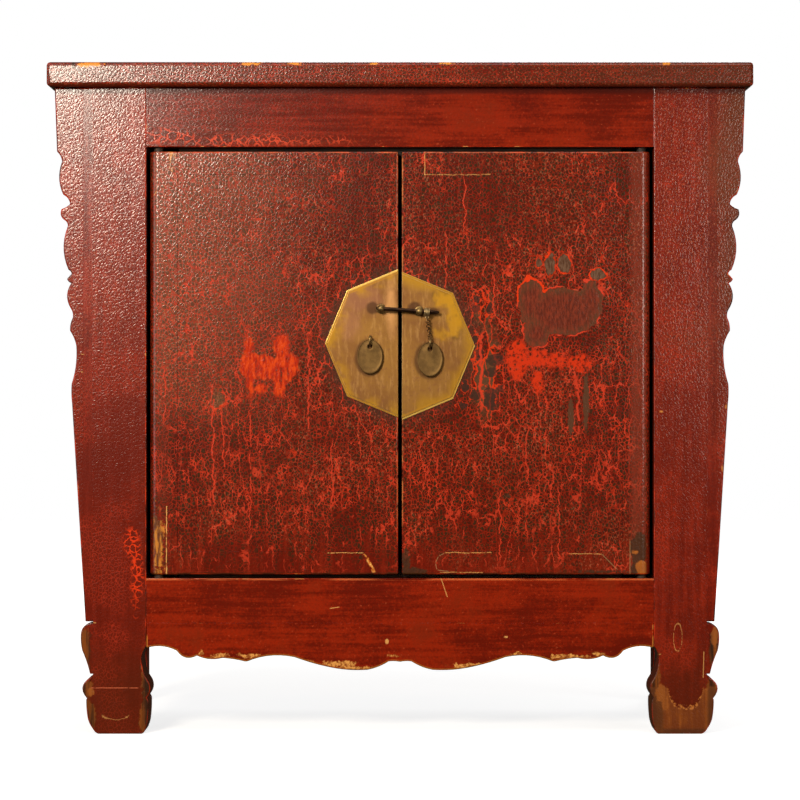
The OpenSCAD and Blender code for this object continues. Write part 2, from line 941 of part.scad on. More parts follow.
module plate_layer(side, shrink, front, back) {
    translate([0, 0, plate_height(side)])
        upright(front, back)
            intersection() {
                rotate(octagon_turn * 2)
                    circle(plate_radius - shrink, $fn = 8);
                translate([side == LEFT ? -plate_radius : door_lock_edge, -plate_radius])
                    square([plate_radius - door_lock_edge, 2 * plate_radius]);
            }
}

module plate(side) {
    step = plate_thick / 2;
    color(brass)
    difference() {
        union() {
            plate_layer(side, 0, door_front - step, door_front);
            plate_layer(side, plate_rim, plate_front, door_front - step);
        }
        post_hole(side);
        ring_holes(side);
    }
}

module eye_post(side) {
    clench = 7;
    neck = ball_reach - post_foot_thick - pin_radius - pin_gap - 0.6;
    color(bronze)
    translate([side * post_reach, 0, plate_height(side) + post_rise]) {
        translate([0, ball_y, 0])
            rotate([0, 90 + pin_tilt, 0])
                difference() {
                    sphere(ball_radius);
                    cylinder(4 * ball_radius, r = pin_radius + pin_gap, center = true);
                }
        translate([0, plate_front - post_foot_thick, 0])
            rotate([90, 0, 0])
                cylinder(neck, r = shank_radius + 1);
        translate([0, plate_front, 0])
            rotate([90, 0, 0])
                cylinder(post_foot_thick, r = post_foot_radius);
        translate([0, door_back, 0])
            rotate([90, 0, 0])
                cylinder(door_back - plate_front, r = shank_radius);
        block([-1.4, door_back, -clench], [1.4, door_back + 1.6, clench]);
    }
}

module pull_ring(side) {
    reach = 2 * ring_radius;
    color(bronze)
    translate([side * pull_reach, 0, ring_height(side)]) {
        intersection() {
            translate([0, ring_y, 0])
                rotate([0, 90, 0])
                    rotate_extrude()
                        translate([ring_radius, 0])
                            circle(ring_wire, $fn = 24);
            block([-reach, ring_y - reach, -reach], [reach, plate_front - 0.2, reach]);
        }
        for (way = [-1, 1])
            translate([0, panel_back + 0.5, way * ring_leg])
                rotate([90, 0, 0])
                    cylinder(panel_back + 0.5 - plate_front + 0.8, r = ring_wire);
        block([-ring_wire, panel_back, -ring_leg - 4], [ring_wire, panel_back + 1.4, ring_leg + 4]);
    }
}

module pull(side) {
    sides = 48;
    oval = [for (i = [0 : sides - 1])
        [pull_wide / 2 * cos(360 * i / sides), pull_high / 2 * sin(360 * i / sides)]];
    hole = [0, pull_high / 2 - pull_hole_edge];
    color(bronze)
    translate([side * pull_reach, 0, ring_height(side) - ring_radius - pull_hang])
        upright(ring_y - pull_thick / 2, ring_y + pull_thick / 2)
            translate(-hole)
                difference() {
                    polygon(oval);
                    translate(hole)
                        circle(pull_hole);
                }
}

module lock_pin() {
    straight = pin_left + pin_right - pin_radius - pin_taper - pin_tip;
    color(bronze)
    translate([0, ball_y, pin_middle])
        rotate([0, 90 + pin_tilt, 0])
            translate([0, 0, pin_radius - pin_left]) {
                sphere(pin_radius);
                cylinder(straight, r = pin_radius);
                translate([0, 0, straight])
                    cylinder(pin_taper, pin_radius, pin_tip);
                translate([0, 0, straight + pin_taper])
                    sphere(pin_tip);
            }
}

module pin_bead() {
    color(bronze)
    difference() {
        union() {
            translate(bead_middle)
                rotate([0, 90 + pin_tilt, 0])
                    intersection() {
                        sphere(bead_radius);
                        cylinder(bead_long, r = 2 * bead_radius, center = true);
                    }
            translate(loop_middle)
                rotate([90, 0, 0])
                    rotate_extrude()
                        translate([loop_radius, 0])
                            circle(link_wire, $fn = 16);
        }
        translate(bead_middle)
            rotate([0, 90 + pin_tilt, 0])
                cylinder(4 * bead_radius, r = bead_bore, center = true);
    }
}

module chain_link(radius) {
    rotate([90, 0, 0])
        rotate_extrude()
            translate([radius, 0])
                circle(link_wire, $fn = 16);
}

module pin_chain() {
    lean = acos(chain_run.z / norm(chain_run));
    turn = atan2(chain_run.y, chain_run.x);
    color(bronze)
    translate(chain_foot) {
        chain_link(end_link_radius);
        rotate([0, 0, turn])
            rotate([0, lean, 0])
                for (i = [0 : links - 1])
                    translate([0, 0, first_step + i * link_step])
                        rotate([0, 0, (i % 2 == 0 ? 90 : 0) - turn])
                            chain_link(link_radius);
    }
}

top_frame_front();
top_frame_back();
top_short_bar(LEFT);  // top_frame_left
top_short_bar(RIGHT);  // top_frame_right
top_panel();
top_battens();
front_leg(LEFT);  // front_leg_left
front_leg(RIGHT);  // front_leg_right
rear_leg(LEFT);  // rear_leg_left
rear_leg(RIGHT);  // rear_leg_right
wing(LEFT);  // wing_left
wing(RIGHT);  // wing_right
leaf(LEFT);  // leaf_left
leaf(RIGHT);  // leaf_right
front_top_rail();
front_bottom_rail();
front_apron();
side_rail(LEFT, side_rail_bottom, under_top);  // side_top_rail_left
side_rail(RIGHT, side_rail_bottom, under_top);  // side_top_rail_right
side_rail(LEFT, rail_floor, opening_bottom);  // side_bottom_rail_left
side_rail(RIGHT, rail_floor, opening_bottom);  // side_bottom_rail_right
side_panel(LEFT);  // side_panel_left
side_panel(RIGHT);  // side_panel_right
side_apron(LEFT);  // side_apron_left
side_apron(RIGHT);  // side_apron_right
back_rail(side_rail_bottom, under_top);  // back_top_rail
back_rail(rail_floor, opening_bottom);  // back_bottom_rail
back_muntin();
back_panel(LEFT);  // back_panel_left
back_panel(RIGHT);  // back_panel_right
floor_boards();
floor_bearer();
shelf_boards();
shelf_bearer(LEFT);  // shelf_bearer_left
shelf_bearer(RIGHT);  // shelf_bearer_right
door_stop_top();
door_stop_bottom();
hinge_stile(LEFT);  // left_door_hinge_stile
lock_stile(LEFT);  // left_door_lock_stile
door_rail(LEFT, door_top - door_rail_high);  // left_door_top_rail
door_rail(LEFT, door_bottom);  // left_door_bottom_rail
door_panel(LEFT);  // left_door_panel
door_battens(LEFT);  // left_door_battens
plate(LEFT);  // left_plate
eye_post(LEFT);  // left_eye_post
pull_ring(LEFT);  // left_pull_ring
hinge_stile(RIGHT);  // right_door_hinge_stile
lock_stile(RIGHT);  // right_door_lock_stile
door_rail(RIGHT, door_top - door_rail_high);  // right_door_top_rail
door_rail(RIGHT, door_bottom);  // right_door_bottom_rail
door_panel(RIGHT);  // right_door_panel
door_battens(RIGHT);  // right_door_battens
plate(RIGHT);  // right_plate
eye_post(RIGHT);  // right_eye_post
pull_ring(RIGHT);  // right_pull_ring
pull(LEFT);  // left_pull
pull(RIGHT);  // right_pull
lock_pin();
pin_bead();
pin_chain();
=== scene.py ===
# %% [markdown]
# # A lacquered sideboard
#
# This lesson dresses a two-door sideboard in old red lacquer. The wooden parts arrive as exact
# solids from a CAD frame, already in place and in metres. Blender doesn't move them: it softens
# their edges, gives each one a finish, and builds the brass and bronze hardware anew.

# %% Load the frame
import json
import math
import bmesh
import bpy
from mathutils import Matrix, Vector

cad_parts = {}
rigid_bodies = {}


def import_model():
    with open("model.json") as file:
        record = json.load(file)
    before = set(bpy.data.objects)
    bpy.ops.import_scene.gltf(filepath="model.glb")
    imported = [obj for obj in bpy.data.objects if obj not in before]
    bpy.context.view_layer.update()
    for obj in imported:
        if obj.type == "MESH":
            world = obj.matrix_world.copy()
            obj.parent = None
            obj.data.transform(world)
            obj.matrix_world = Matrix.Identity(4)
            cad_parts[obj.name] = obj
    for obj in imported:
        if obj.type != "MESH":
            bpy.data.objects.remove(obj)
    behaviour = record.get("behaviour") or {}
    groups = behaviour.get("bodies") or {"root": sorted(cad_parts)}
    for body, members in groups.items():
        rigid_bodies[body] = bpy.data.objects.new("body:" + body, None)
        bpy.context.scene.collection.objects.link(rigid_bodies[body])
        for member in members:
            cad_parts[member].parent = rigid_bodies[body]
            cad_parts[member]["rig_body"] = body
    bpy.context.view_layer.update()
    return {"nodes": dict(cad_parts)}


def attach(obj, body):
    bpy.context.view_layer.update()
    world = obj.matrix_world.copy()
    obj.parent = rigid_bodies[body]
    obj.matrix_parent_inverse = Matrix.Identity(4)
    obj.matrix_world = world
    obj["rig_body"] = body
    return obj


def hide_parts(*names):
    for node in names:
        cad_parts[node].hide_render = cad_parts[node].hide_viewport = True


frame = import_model()
nodes = frame["nodes"]

# %% [markdown]
# ## Colours as a painter reads them
#
# Lacquer, wood and metal are easiest to judge as screen colours from 0 to 255, but a shader works
# in linear light. So every colour below is written as three screen values, and one helper turns
# them into light where they are mixed.

# %% The palette


def tone(red, green, blue):
    """Linear colour of a screen colour from 0 to 255."""
    def linear(v):
        v /= 255
        return v / 12.92 if v <= 0.04045 else ((v + 0.055) / 1.055) ** 2.4
    return (linear(red), linear(green), linear(blue), 1)


WINE = (96, 17, 4)
BRICK = (140, 32, 6)
BLOOD = (118, 28, 10)
VERMILION = (206, 52, 14)
CORAL = (192, 56, 32)
MAROON = (66, 22, 9)
UMBER = (52, 32, 15)
OLIVE = (86, 60, 38)
PLUM = (82, 44, 38)
OCHRE = (186, 112, 36)
STRAW = (222, 164, 92)
print("palette: wine is", [round(v, 3) for v in tone(*WINE)[:3]])

# %% [markdown]
# ## Node trees written as sums
#
# A finish is a tree of small nodes. Joining them by hand hides what is worked out, so one class
# wraps a socket and lets Python's own signs add the Math nodes. A second class holds a material
# and has one method that adds any other node.

# %% A socket that can be added, multiplied and compared


def signed(operation, turned=False):
    """A method that adds one Math node. turned puts the other value first."""
    def method(self, *others):
        values = (*others, self) if turned else (self, *others)
        return self.coat.add("Math", {"operation": operation}, dict(enumerate(values)))
    return method


class Reading:
    """One value in a coat's tree. Sums with it add Math nodes, and so do the methods."""

    def __init__(self, coat, socket):
        self.coat = coat
        self.socket = socket

    def output(self, name):
        return Reading(self.coat, self.socket.node.outputs[name])

    __add__ = __radd__ = signed("ADD")
    __mul__ = __rmul__ = signed("MULTIPLY")
    __sub__ = signed("SUBTRACT")
    __rsub__ = signed("SUBTRACT", True)
    __abs__ = signed("ABSOLUTE")
    most = signed("MAXIMUM")
    least = signed("MINIMUM")

    def rise(self, low, high):
        """0 below low and 1 above high, with a soft step between them."""
        sockets = {"Value": self, "From Min": low, "From Max": high}
        return self.coat.add("MapRange", {"interpolation_type": "SMOOTHSTEP"}, sockets)

    def fall(self, low, high):
        """1 below low and 0 above high."""
        return 1 - self.rise(low, high)

    def band(self, low, high, soft=6.0):
        """1 where a coordinate lies between two distances in millimetres, with soft ends."""
        low, high, soft = low / 1000, high / 1000, soft / 1000
        return self.rise(low - soft, low) * self.fall(high, high + soft)

    def mix(self, *colours):
        """Two colours, each three screen values or a reading, mixed by this share."""
        first, second = (tone(*c) if type(c) is tuple and len(c) == 3 else c for c in colours)
        return self.coat.add("Mix", {"data_type": "RGBA"}, {0: self, 6: first, 7: second}, 2)


# %% A finish, called coat below: one material and the few nodes that it is made of


class Finish:
    """A material under construction. colour, rough and height are what it has so far."""

    def __init__(self, name, roughness, **fixed):
        self.material = bpy.data.materials.new(name)
        self.material.use_nodes = True
        self.tree = self.material.node_tree
        self.tree.nodes.clear()
        self.shader = self.tree.nodes.new("ShaderNodeBsdfPrincipled")
        end = self.tree.nodes.new("ShaderNodeOutputMaterial")
        self.tree.links.new(self.shader.outputs[0], end.inputs[0])
        for socket, value in fixed.items():
            self.shader.inputs[socket.replace("_", " ")].default_value = value
        self.place = self.add("TexCoord", output="Object")
        split = self.add("SeparateXYZ", sockets={0: self.place})
        self.x, self.y, self.z = (split.output(axis) for axis in "XYZ")
        self.rough = roughness
        self.height = None

    def add(self, kind, settings=None, sockets=None, output=0):
        """Adds a shader node: its settings first, then the values or links of its sockets."""
        node = self.tree.nodes.new("ShaderNode" + kind)
        for key, value in (settings or {}).items():
            setattr(node, key, value)
        for key, value in (sockets or {}).items():
            if isinstance(value, Reading):
                self.tree.links.new(value.socket, node.inputs[key])
            else:
                node.inputs[key].default_value = value
        return Reading(self, node.outputs[output])

    def vector(self, operation, *values, output=0):
        sockets = dict(enumerate(values))
        return self.add("VectorMath", {"operation": operation}, sockets, output)

    def scaled(self, *by):
        return self.vector("MULTIPLY", self.place, by)

    def noise(self, size, detail=2.0, ragged=0.5, output=0, where=None):
        sockets = {"Vector": where or self.place, "Scale": 1 / size, "Detail": detail,
                   "Roughness": ragged}
        return self.add("TexNoise", {"noise_dimensions": "3D"}, sockets, output)

    def bent(self, push, stretch, *grain):
        """The scaled place, pushed to and fro by a coloured noise."""
        wander = self.vector("SUBTRACT", self.noise(*grain, "Color"), (0.5, 0.5, 0.5))
        return self.vector("ADD", self.scaled(*stretch), self.vector("MULTIPLY", wander, push))

    def cells(self, where, size, feature="DISTANCE_TO_EDGE", output=0):
        sockets = {"Vector": where, "Scale": 1 / size}
        return self.add("TexVoronoi", {"feature": feature}, sockets, output)

    def wear(self):
        return self.add("Attribute", {"attribute_name": "wear"}, output="Fac")

    def paint(self, share, colour, rough=None):
        """Lays a colour over what is there, where share is 1."""
        self.colour = share.mix(self.colour, colour)
        if rough is not None:
            self.rough = (share * (rough - self.rough)) + self.rough

    def close(self, bump=0.5, deep=0.001):
        """Joins what the finish has so far to the shader."""
        inputs = self.shader.inputs
        self.tree.links.new(self.colour.socket, inputs["Base Color"])
        if isinstance(self.rough, Reading):
            self.tree.links.new(self.rough.socket, inputs["Roughness"])
        else:
            inputs["Roughness"].default_value = self.rough
        if self.height is not None:
            sockets = {"Strength": bump, "Distance": deep, "Height": self.height}
            lifted = self.add("Bump", None, sockets)
            self.tree.links.new(lifted.socket, inputs["Normal"])
        return self.material


print("helpers: Reading and Finish are ready")

# %% [markdown]
# ## Crackled lacquer
#
# The real coat is many thin layers of tinted lacquer over cloth and clay. It has aged into a net of
# cells a few millimetres wide: brown-black skins with vermilion underlayer showing between them.
# Voronoi cells have just this shape. Their distance to the nearest edge draws the net, and a slow
# noise decides where the net is open and where the skin is still whole.

# %% The ground coat, brushed along the board

BRUSHED = {"X": (0.06, 1, 1), "Y": (1, 0.06, 1), "Z": (1, 1, 0.06)}


def ground_coat(coat, grain, light):
    """Wine red in long soft streaks, cloudy over a hand's breadth, with fine pale specks."""
    coat.streak = coat.noise(0.006, 4, 0.65, where=coat.scaled(*BRUSHED[grain]))
    coat.cloud = coat.noise(0.09, 4, 0.6)
    coat.grit = coat.noise(0.003, 2, 0.6)
    share = coat.streak * 0.35 + coat.cloud * 0.45 + coat.grit * 0.2
    coat.colour = share.rise(0.42, 0.58).mix(WINE, light)
    coat.paint(coat.cloud.rise(0.56, 0.72) * 0.4, (84, 34, 14))
    coat.paint(coat.grit.rise(0.66, 0.76) * 0.3, (190, 96, 60))


# %% The net of cracks


def crackle(coat, size, net, heat, stretch, dark):
    """Cells of a size in metres. net is how dark they are inside, heat how bright their cracks."""
    bent = coat.bent((size * 1.4,) * 3, stretch, size * 2.2, 2, 0.5)
    edge = coat.cells(bent, size)
    skin = coat.cells(bent, size, "F1", "Color")
    coat.core = edge.fall(0.01, 0.10)
    bright = (coat.noise(size * 4, 3, 0.6) + heat).rise(0.42, 1.1)
    coat.paint(net * 0.8, bright.mix(coat.colour, BLOOD))
    coat.paint(edge.rise(0.05, 0.17) * net * 0.95, dark or skin.rise(0.4, 0.6).mix(MAROON, UMBER))
    coat.paint(coat.core * net * bright, bright.mix(CORAL, VERMILION))
    coat.pillow = edge.rise(0.0, 0.28)


def open_net(coat, size, wide=0.08, stretch=(1, 1, 1), bend=1.3):
    """The thin lines of a wider net, where the skin has lifted in rings."""
    bent = coat.bent((size * bend,) * 3, stretch, size, 3, 0.6)
    return coat.cells(bent, size).fall(wide * 0.4, wide)


def highlight_and_shade_points(coat, share):
    """Painted highlights as pale points on the rims of single skins, and painted shade as dark
    points between them.
    """
    point = coat.noise(0.0023, 1, 0.5, where=coat.scaled(1, 1, 0.8))
    # painted shade: dark points
    coat.paint(point.fall(0.30, 0.46) * share * 1.3, (54, 24, 10))
    # painted highlight: pale points
    coat.paint(point.rise(0.56, 0.74) * share * 0.8, (200, 122, 84))


def rivers(coat, zone, size=0.013):
    """Long branching cracks, widest where zone is 1, and a random value for each skin."""
    push = (size * 1.2, size, size * 1.4)
    bent = coat.bent(push, (1, 1, 0.4), size * 1.5, 3, 0.6)
    edge = coat.cells(bent, size)
    gate = coat.noise(size * 3, 3, 0.6)
    wide = gate.rise(0.5, 0.75) * 0.055 + zone * 0.06 + 0.0001
    shown = (gate + zone * 0.3).rise(0.5, 0.62)
    coat.river = edge.fall(wide * 0.4, wide) * shown
    coat.near_river = edge.fall(0.0, 0.25) * shown
    coat.whole = coat.cells(bent, size, "F1", "Color")


print("crackle: cells about 4 mm wide, rivers 13 mm apart")

# %% [markdown]
# ## Marks at known places
#
# A flaked patch, a dark skin or a worn corner is where it is because of this piece's own history.
# Each mark is a union of a few soft ovals, given in millimetres on the front, whose rims a noise
# has nibbled. Fine straight marks are scratches and the joints under the lacquer.

# %% Ovals, lines and veins on the front


def ovals(coat, rows, nibble=2.0, grain=0.006):
    """Millimetres outside the nearest oval [x, z, half width, half height], ragged by nibble."""
    nearest = None
    for x, z, wide, high in rows:
        away = coat.vector("SUBTRACT", coat.place, (x / 1000, 0, z / 1000))
        away = coat.vector("MULTIPLY", away, (1000 / wide, 0, 1000 / high))
        away = (coat.vector("LENGTH", away, output="Value") - 1) * min(wide, high)
        nearest = away if nearest is None else nearest.least(away)
    return nearest + (coat.noise(grain, 3, 0.6) - 0.5) * nibble * 4


def inside(coat, rows, nibble=2.0, grain=0.006, soft=0.6):
    """1 inside the ovals on the front and 0 outside, with a soft rim in millimetres."""
    away = ovals(coat, rows, nibble, grain)
    return away.fall(-soft, soft) * coat.front


def rim(coat, away, wide=3.0):
    """A line that runs along the outside of a shape, from its distance in millimetres."""
    return away.rise(0.0, 0.8) * away.fall(wide, wide + 0.8) * coat.front


def only_front(coat):
    """1 on the front faces and 0 on what lies deeper."""
    return coat.y.fall(-0.2125, -0.2105)


def hairlines(coat, rows, share):
    """Thin straight marks in boxes [x0, x1, z0, z1], in millimetres."""
    for x0, x1, z0, z1 in rows:
        sway = (coat.noise(0.012, 3, 0.6) - 0.5) * 0.003
        sides = []
        for value, low, high in ((coat.x, x0, x1), (coat.z, z0, z1)):
            middle, reach = (low + high) / 2000, max(high - low, 0.6) / 2000
            off = abs(value + sway - middle)
            sides.append(off.fall(reach - 0.0002, reach + 0.0004))
        broken = coat.noise(0.005).rise(0.36, 0.48) * 0.75 + 0.25
        coat.paint(sides[0] * sides[1] * broken * coat.front * share, STRAW)


def scratch(coat, x0, z0, x1, z1, wide=0.5):
    """A straight scratch from one point of the front to another, in millimetres."""
    span = math.hypot(x1 - x0, z1 - z0)
    along_x, along_z = (x1 - x0) / span, (z1 - z0) / span
    off_x, off_z = coat.x * 1000 - x0, coat.z * 1000 - z0
    way = off_x * along_x + off_z * along_z
    beside = abs(off_x * along_z - off_z * along_x)
    length = way.rise(0, 2) * way.fall(span - 2, span)
    return beside.fall(wide * 0.3, wide + 0.4) * length * coat.front


def scratches(coat, rows, share, colour=STRAW):
    for row in rows:
        coat.paint(scratch(coat, *row) * share, colour)


def veins(coat, rows):
    """Long meandering cracks [x, low end, high end, width], in millimetres."""
    for x, low, high, wide in rows:
        drift = coat.noise(0.022, 4, 0.65, where=coat.scaled(0.35, 0, 1)) - 0.5
        line = abs(coat.x - x / 1000 - drift * 0.018).fall(wide / 2500, wide / 1000)
        middle, reach = (low + high) / 2000, (high - low) / 2000
        line = line * coat.noise(0.01).rise(0.36, 0.46)
        line = line * abs(coat.z - middle).fall(reach * 0.7, reach) * 0.85
        coat.paint(line * coat.front, CORAL)


def worn_edges(coat, amount=0.5, chips=0.62):
    """Vermilion and bare clay along the rounded edges, from the wear attribute."""
    wear, rub = coat.wear(), coat.noise(0.03, 4, 0.6)
    coat.paint(wear * rub.rise(0.62 - amount * 0.4, 0.7) * 0.85, VERMILION)
    coat.paint(wear * rub.rise(chips, chips + 0.05), OCHRE, 0.7)


print("marks: ovals, hairlines, scratches, veins and worn edges")

# %% [markdown]
# ## The lacquer of the frame, the doors and the sides
#
# All are the same red, but every board has aged in its own way. Legs and wings are brushed
# upwards, the rails sideways, and the doors carry the deepest crackle.

# %% What every lacquered piece shares


def lacquer(name, grain, size, net, heat=0.1, where=None, rough=0.22, dark=None, light=BRICK):
    """A coat and its ground. net is how much of the surface is cracked open."""
    coat = Finish(name, rough, Specular_IOR_Level=0.5)
    ground_coat(coat, grain, light)
    coat.front = only_front(coat)
    slow = coat.noise(0.07, 4, 0.6)
    share = slow.rise(0.72 - net * 0.5, 0.92 - net * 0.5)
    if where is not None:
        share = share * where(coat)
    if callable(heat):
        heat = heat(coat)
    stretch = {"X": (0.85, 1, 1), "Y": (1, 0.85, 1), "Z": (1, 1, 0.85)}[grain]
    crackle(coat, size, share, heat, stretch, dark)
    coat.height = coat.pillow * 0.7 + coat.noise(0.0026, 2, 0.5) * 0.2
    coat.rough = coat.streak * 0.08 + (rough - 0.04)
    return coat


def slab_shadow_line(coat):
    """Painted shadow: a dark band at the top of the frame, under the slab's overhang."""
    coat.paint(coat.z.rise(0.829, 0.835) * coat.front * 0.75, (50, 14, 8))


# %% The uprights: legs, wings and leaves


def leathery(coat):
    """The uprights are leathery above and smoother towards the feet."""
    coat.joint = abs(coat.x).band(401, 411, 2)
    return (coat.z.rise(0.10, 0.62) * 0.65 + 0.35) * (1 - coat.joint * 0.8)


HOOF_X = 0.371
leg = lacquer("lacquer_uprights", "Z", 0.0040, 1.3, 0.0, leathery, 0.22, (116, 34, 16))
strip = abs(leg.x).band(331, 338, 3) * leg.z.band(200, 765, 20)
leg.paint(strip * 0.6, BLOOD)
# painted highlight and shade points, more of them higher up
highlight_and_shade_points(leg, (leg.z + (leg.cloud - 0.5) * 0.5).rise(0.2, 0.5) * 0.4)
shady = (leg.x + (leg.cloud - 0.5) * 0.12).rise(0.37, 0.43)
shady = shady * leg.z.rise(0.30, 0.62) * (leg.streak * 0.8 + 0.3)
leg.paint(shady * 0.8, (76, 46, 24))
# deeper red towards the feet; more on the left leg, as painted shade against its brighter light
low = leg.z.fall(0.35, 0.62)
leg.paint(low * (0.75 - leg.x.rise(0, 0.01) * 0.45), (92, 20, 5))
leg.paint(leg.core * low * leg.cloud.rise(0.46, 0.62) * 0.35, CORAL)
mesh_patch = inside(leg, [(-342, 213, 7, 40), (-350, 250, 10, 20)], 4, 0.012, 4)
leg.paint(mesh_patch * open_net(leg, 0.008, 0.12), VERMILION)
ragged = (leg.noise(0.012, 4, 0.65) - 0.5) * 0.012
aged = (leg.z + ragged + (leg.cloud - 0.5) * 0.08).fall(0.05, 0.15)
leg.paint(aged * 0.5, (74, 30, 10))
bark_rows = [(s * x, z, wide, high) for s in (-1, 1) for x, z, wide, high in
             [(331, 78, 6, 28), (412, 108, 10, 33), (406, 58, 7, 13), (329, 22, 11, 24),
              (408, 18, 13, 26)]]
bark = leg.streak.rise(0.4, 0.62).mix((40, 22, 6), (120, 62, 14))
leg.paint(inside(leg, bark_rows, 3.0, 0.01, 1.5) * 0.9, bark, 0.3)
dip = leg.x - HOOF_X
arch = leg.z + ragged * 0.5 - dip * dip * dip * dip * 90000
bare_hoof = arch.fall(0.033, 0.035) * leg.x.rise(0, 0.01)
bare_hoof = bare_hoof * (leg.z + ragged).fall(0.058, 0.062)
fibre = (leg.streak * 0.4 + leg.cloud * 0.6).rise(0.40, 0.60)
leg.paint(bare_hoof * 0.95, fibre.mix((106, 48, 12), (150, 80, 22)), 0.32)
hem = abs(leg.x - HOOF_X).band(31, 60, 5) + leg.z.fall(0.004, 0.009)
leg.paint(bare_hoof * hem.least(1.0) * 0.7, (66, 34, 14), 0.32)
torn = arch.band(32.5, 37, 1.5) * leg.grit.rise(0.45, 0.58)
torn = torn * leg.x.rise(0, 0.01) * leg.z.fall(0.056, 0.062)
leg.paint(torn * 0.7, (190, 116, 52))
cut = leg.z.band(59.4, 60.2, 0.4) * (0 - leg.x).band(342, 400, 3)
leg.paint(cut * leg.front * leg.grit.rise(0.3, 0.5) * 0.7, (196, 100, 66))
arcs = rim(leg, ovals(leg, [(-370, 26, 15, 7)], 1.5, 0.006), 0.5)
leg.paint(arcs * leg.z.fall(0.022, 0.026) * 0.6, STRAW)
lobes = inside(leg, [(-402, 55, 4, 5), (339, 52, 7, 13), (345, 40, 5, 8), (409, 126, 5, 12)],
               3.4, 0.009, 1.2)
leg.paint(lobes * 0.8, leg.streak.mix((92, 44, 8), (172, 94, 28)), 0.35)
flakes = inside(leg, [(425, 425, 2.5, 3), (420, 344, 2.5, 4), (340, 419, 2, 1)], 1.0)
leg.paint(flakes * 0.85, OCHRE, 0.35)
ring = rim(leg, ovals(leg, [(361, 126, 5, 16)], 0.6, 0.01), 0.5)
leg.paint(ring * leg.grit.rise(0.4, 0.5) * 0.6, STRAW)
scratches(leg, [(-416, 494, -410, 493), (-416, 471, -411, 470), (-406, 146, -394, 144),
                (331, 102, 340, 104), (395, 108, 394, 72)], 0.6)
# painted shadow under the slab's overhang
slab_shadow_line(leg)
leg.paint(leg.wear() * 0.8, (62, 24, 10))
worn_edges(leg, 0.6, 0.64)
leg.height = leg.height * (1 - leg.joint * 0.7)
UPRIGHT = leg.close(0.4, 0.0003)
print("uprights: bare hoof, bark on the leaves, flakes on the wings")

# %% The rails and the apron


def rail_net(coat):
    """The rails are nearly smooth, but the upper one is leathery at its left end."""
    upper = coat.z.rise(0.75, 0.77) * coat.x.fall(-0.28, 0.05)
    return upper * 0.7 + 0.16


rail = lacquer("lacquer_rails", "X", 0.0044, 1.1, 0.0, rail_net, 0.18, (84, 34, 16))
# painted shade: the top rail is darkened a little against the stronger light from above
rail.paint(rail.z.rise(0.76, 0.78) * 0.2, (70, 12, 4))
ring_cells = inside(rail, [(-304, 777, 32, 10), (-200, 771, 110, 6)], 5, 0.02, 5)
rail.paint(ring_cells * rail.streak.rise(0.4, 0.6) * 0.5, (74, 30, 14))
rail.paint(ring_cells * open_net(rail, 0.010, 0.10) * 0.8, (200, 66, 36))
# a tan line along the bottom rail's top edge: partly wear, partly a painted highlight
top_line = rail.z.band(199.8, 203, 0.5) * rail.streak.rise(0.38, 0.55)
rail.paint(top_line * rail.front * 0.6, (206, 104, 56))
# painted shadow under the slab's overhang
slab_shadow_line(rail)
rail.paint(rail.wear() * rail.z.fall(0.125, 0.13) * 0.9, (196, 118, 44))
lip = inside(rail, [(-259, 105, 4, 3), (-236, 102, 10, 2.5), (-197, 102, 13, 2.5), (-117, 94, 4, 2),
                    (-78, 91, 24, 4), (-62, 86, 22, 3), (-7, 102, 7, 2), (90, 88, 25, 4),
                    (151, 103, 8, 3), (217, 101, 20, 2.5), (257, 104, 6, 2)], 2.2, 0.007, 0.8)
lip_tone = rail.grit.rise(0.35, 0.65).mix((140, 72, 16), (226, 160, 80))
rail.paint(lip * 0.9, lip_tone, 0.35)
scratches(rail, [(52, 206, 62, 177), (51, 206, 60, 208), (-92, 163, -78, 165)], 0.7)
rail.paint(inside(rail, [(-17, 120, 2, 3), (137, 126, 2, 1)], 1) * 0.8, STRAW)
worn_edges(rail, 0.3, 0.60)
RAIL = rail.close(0.18, 0.0003)

# %% The slab and the sides

slab = lacquer("lacquer_slab", "X", 0.0038, 1.15, 0.05, None, 0.22, (72, 30, 12))
# painted highlight and shade points over the slab
highlight_and_shade_points(slab, 0.4)
slab.paint((slab.x + (slab.cloud - 0.5) * 0.4).rise(0.10, 0.36) * 0.45, (76, 40, 24))
chips = inside(slab, [(-401, 869, 15, 3), (-194, 870, 12, 2.5), (-137, 870, 7, 2.5),
                      (-33, 870, 5, 2), (344, 870, 6, 2.5), (60, 870, 8, 2)], 2.4, 0.006)
slab.paint(chips * slab.y.fall(-0.2275, -0.2245) * 0.9, (216, 136, 36), 0.35)
slab.paint(inside(slab, [(-423, 867, 3, 4)], 1.5) * 0.9, UMBER)
brow = slab.z.rise(0.8665, 0.8700) * slab.y.fall(-0.2299, -0.2294)
slab.paint(brow * slab.streak.rise(0.36, 0.52) * 0.8, (210, 92, 32))
slab.paint(slab.z.fall(0.841, 0.846) * slab.front * 0.6, MAROON)
worn_edges(slab, 1.0, 0.66)
SLAB = slab.close(0.35, 0.0003)

flank = lacquer("lacquer_sides", "Z", 0.0044, 0.6, 0.05, None, 0.3, (92, 28, 10), (160, 42, 12))
worn_edges(flank, 0.5)
FLANK = flank.close(0.5, 0.0003)
print("rails, slab and sides: three coats")

# %% What both doors share

PLATE_Z = 0.506


def dense_net(coat):
    """The doors' net is densest at hand height and fades to plain red near the bottom rail."""
    drip = coat.noise(0.012, where=coat.scaled(1, 0, 0.15))
    low = (coat.z - (drip - 0.5) * 0.2).rise(0.195, 0.27)
    return low * 0.85 + 0.15


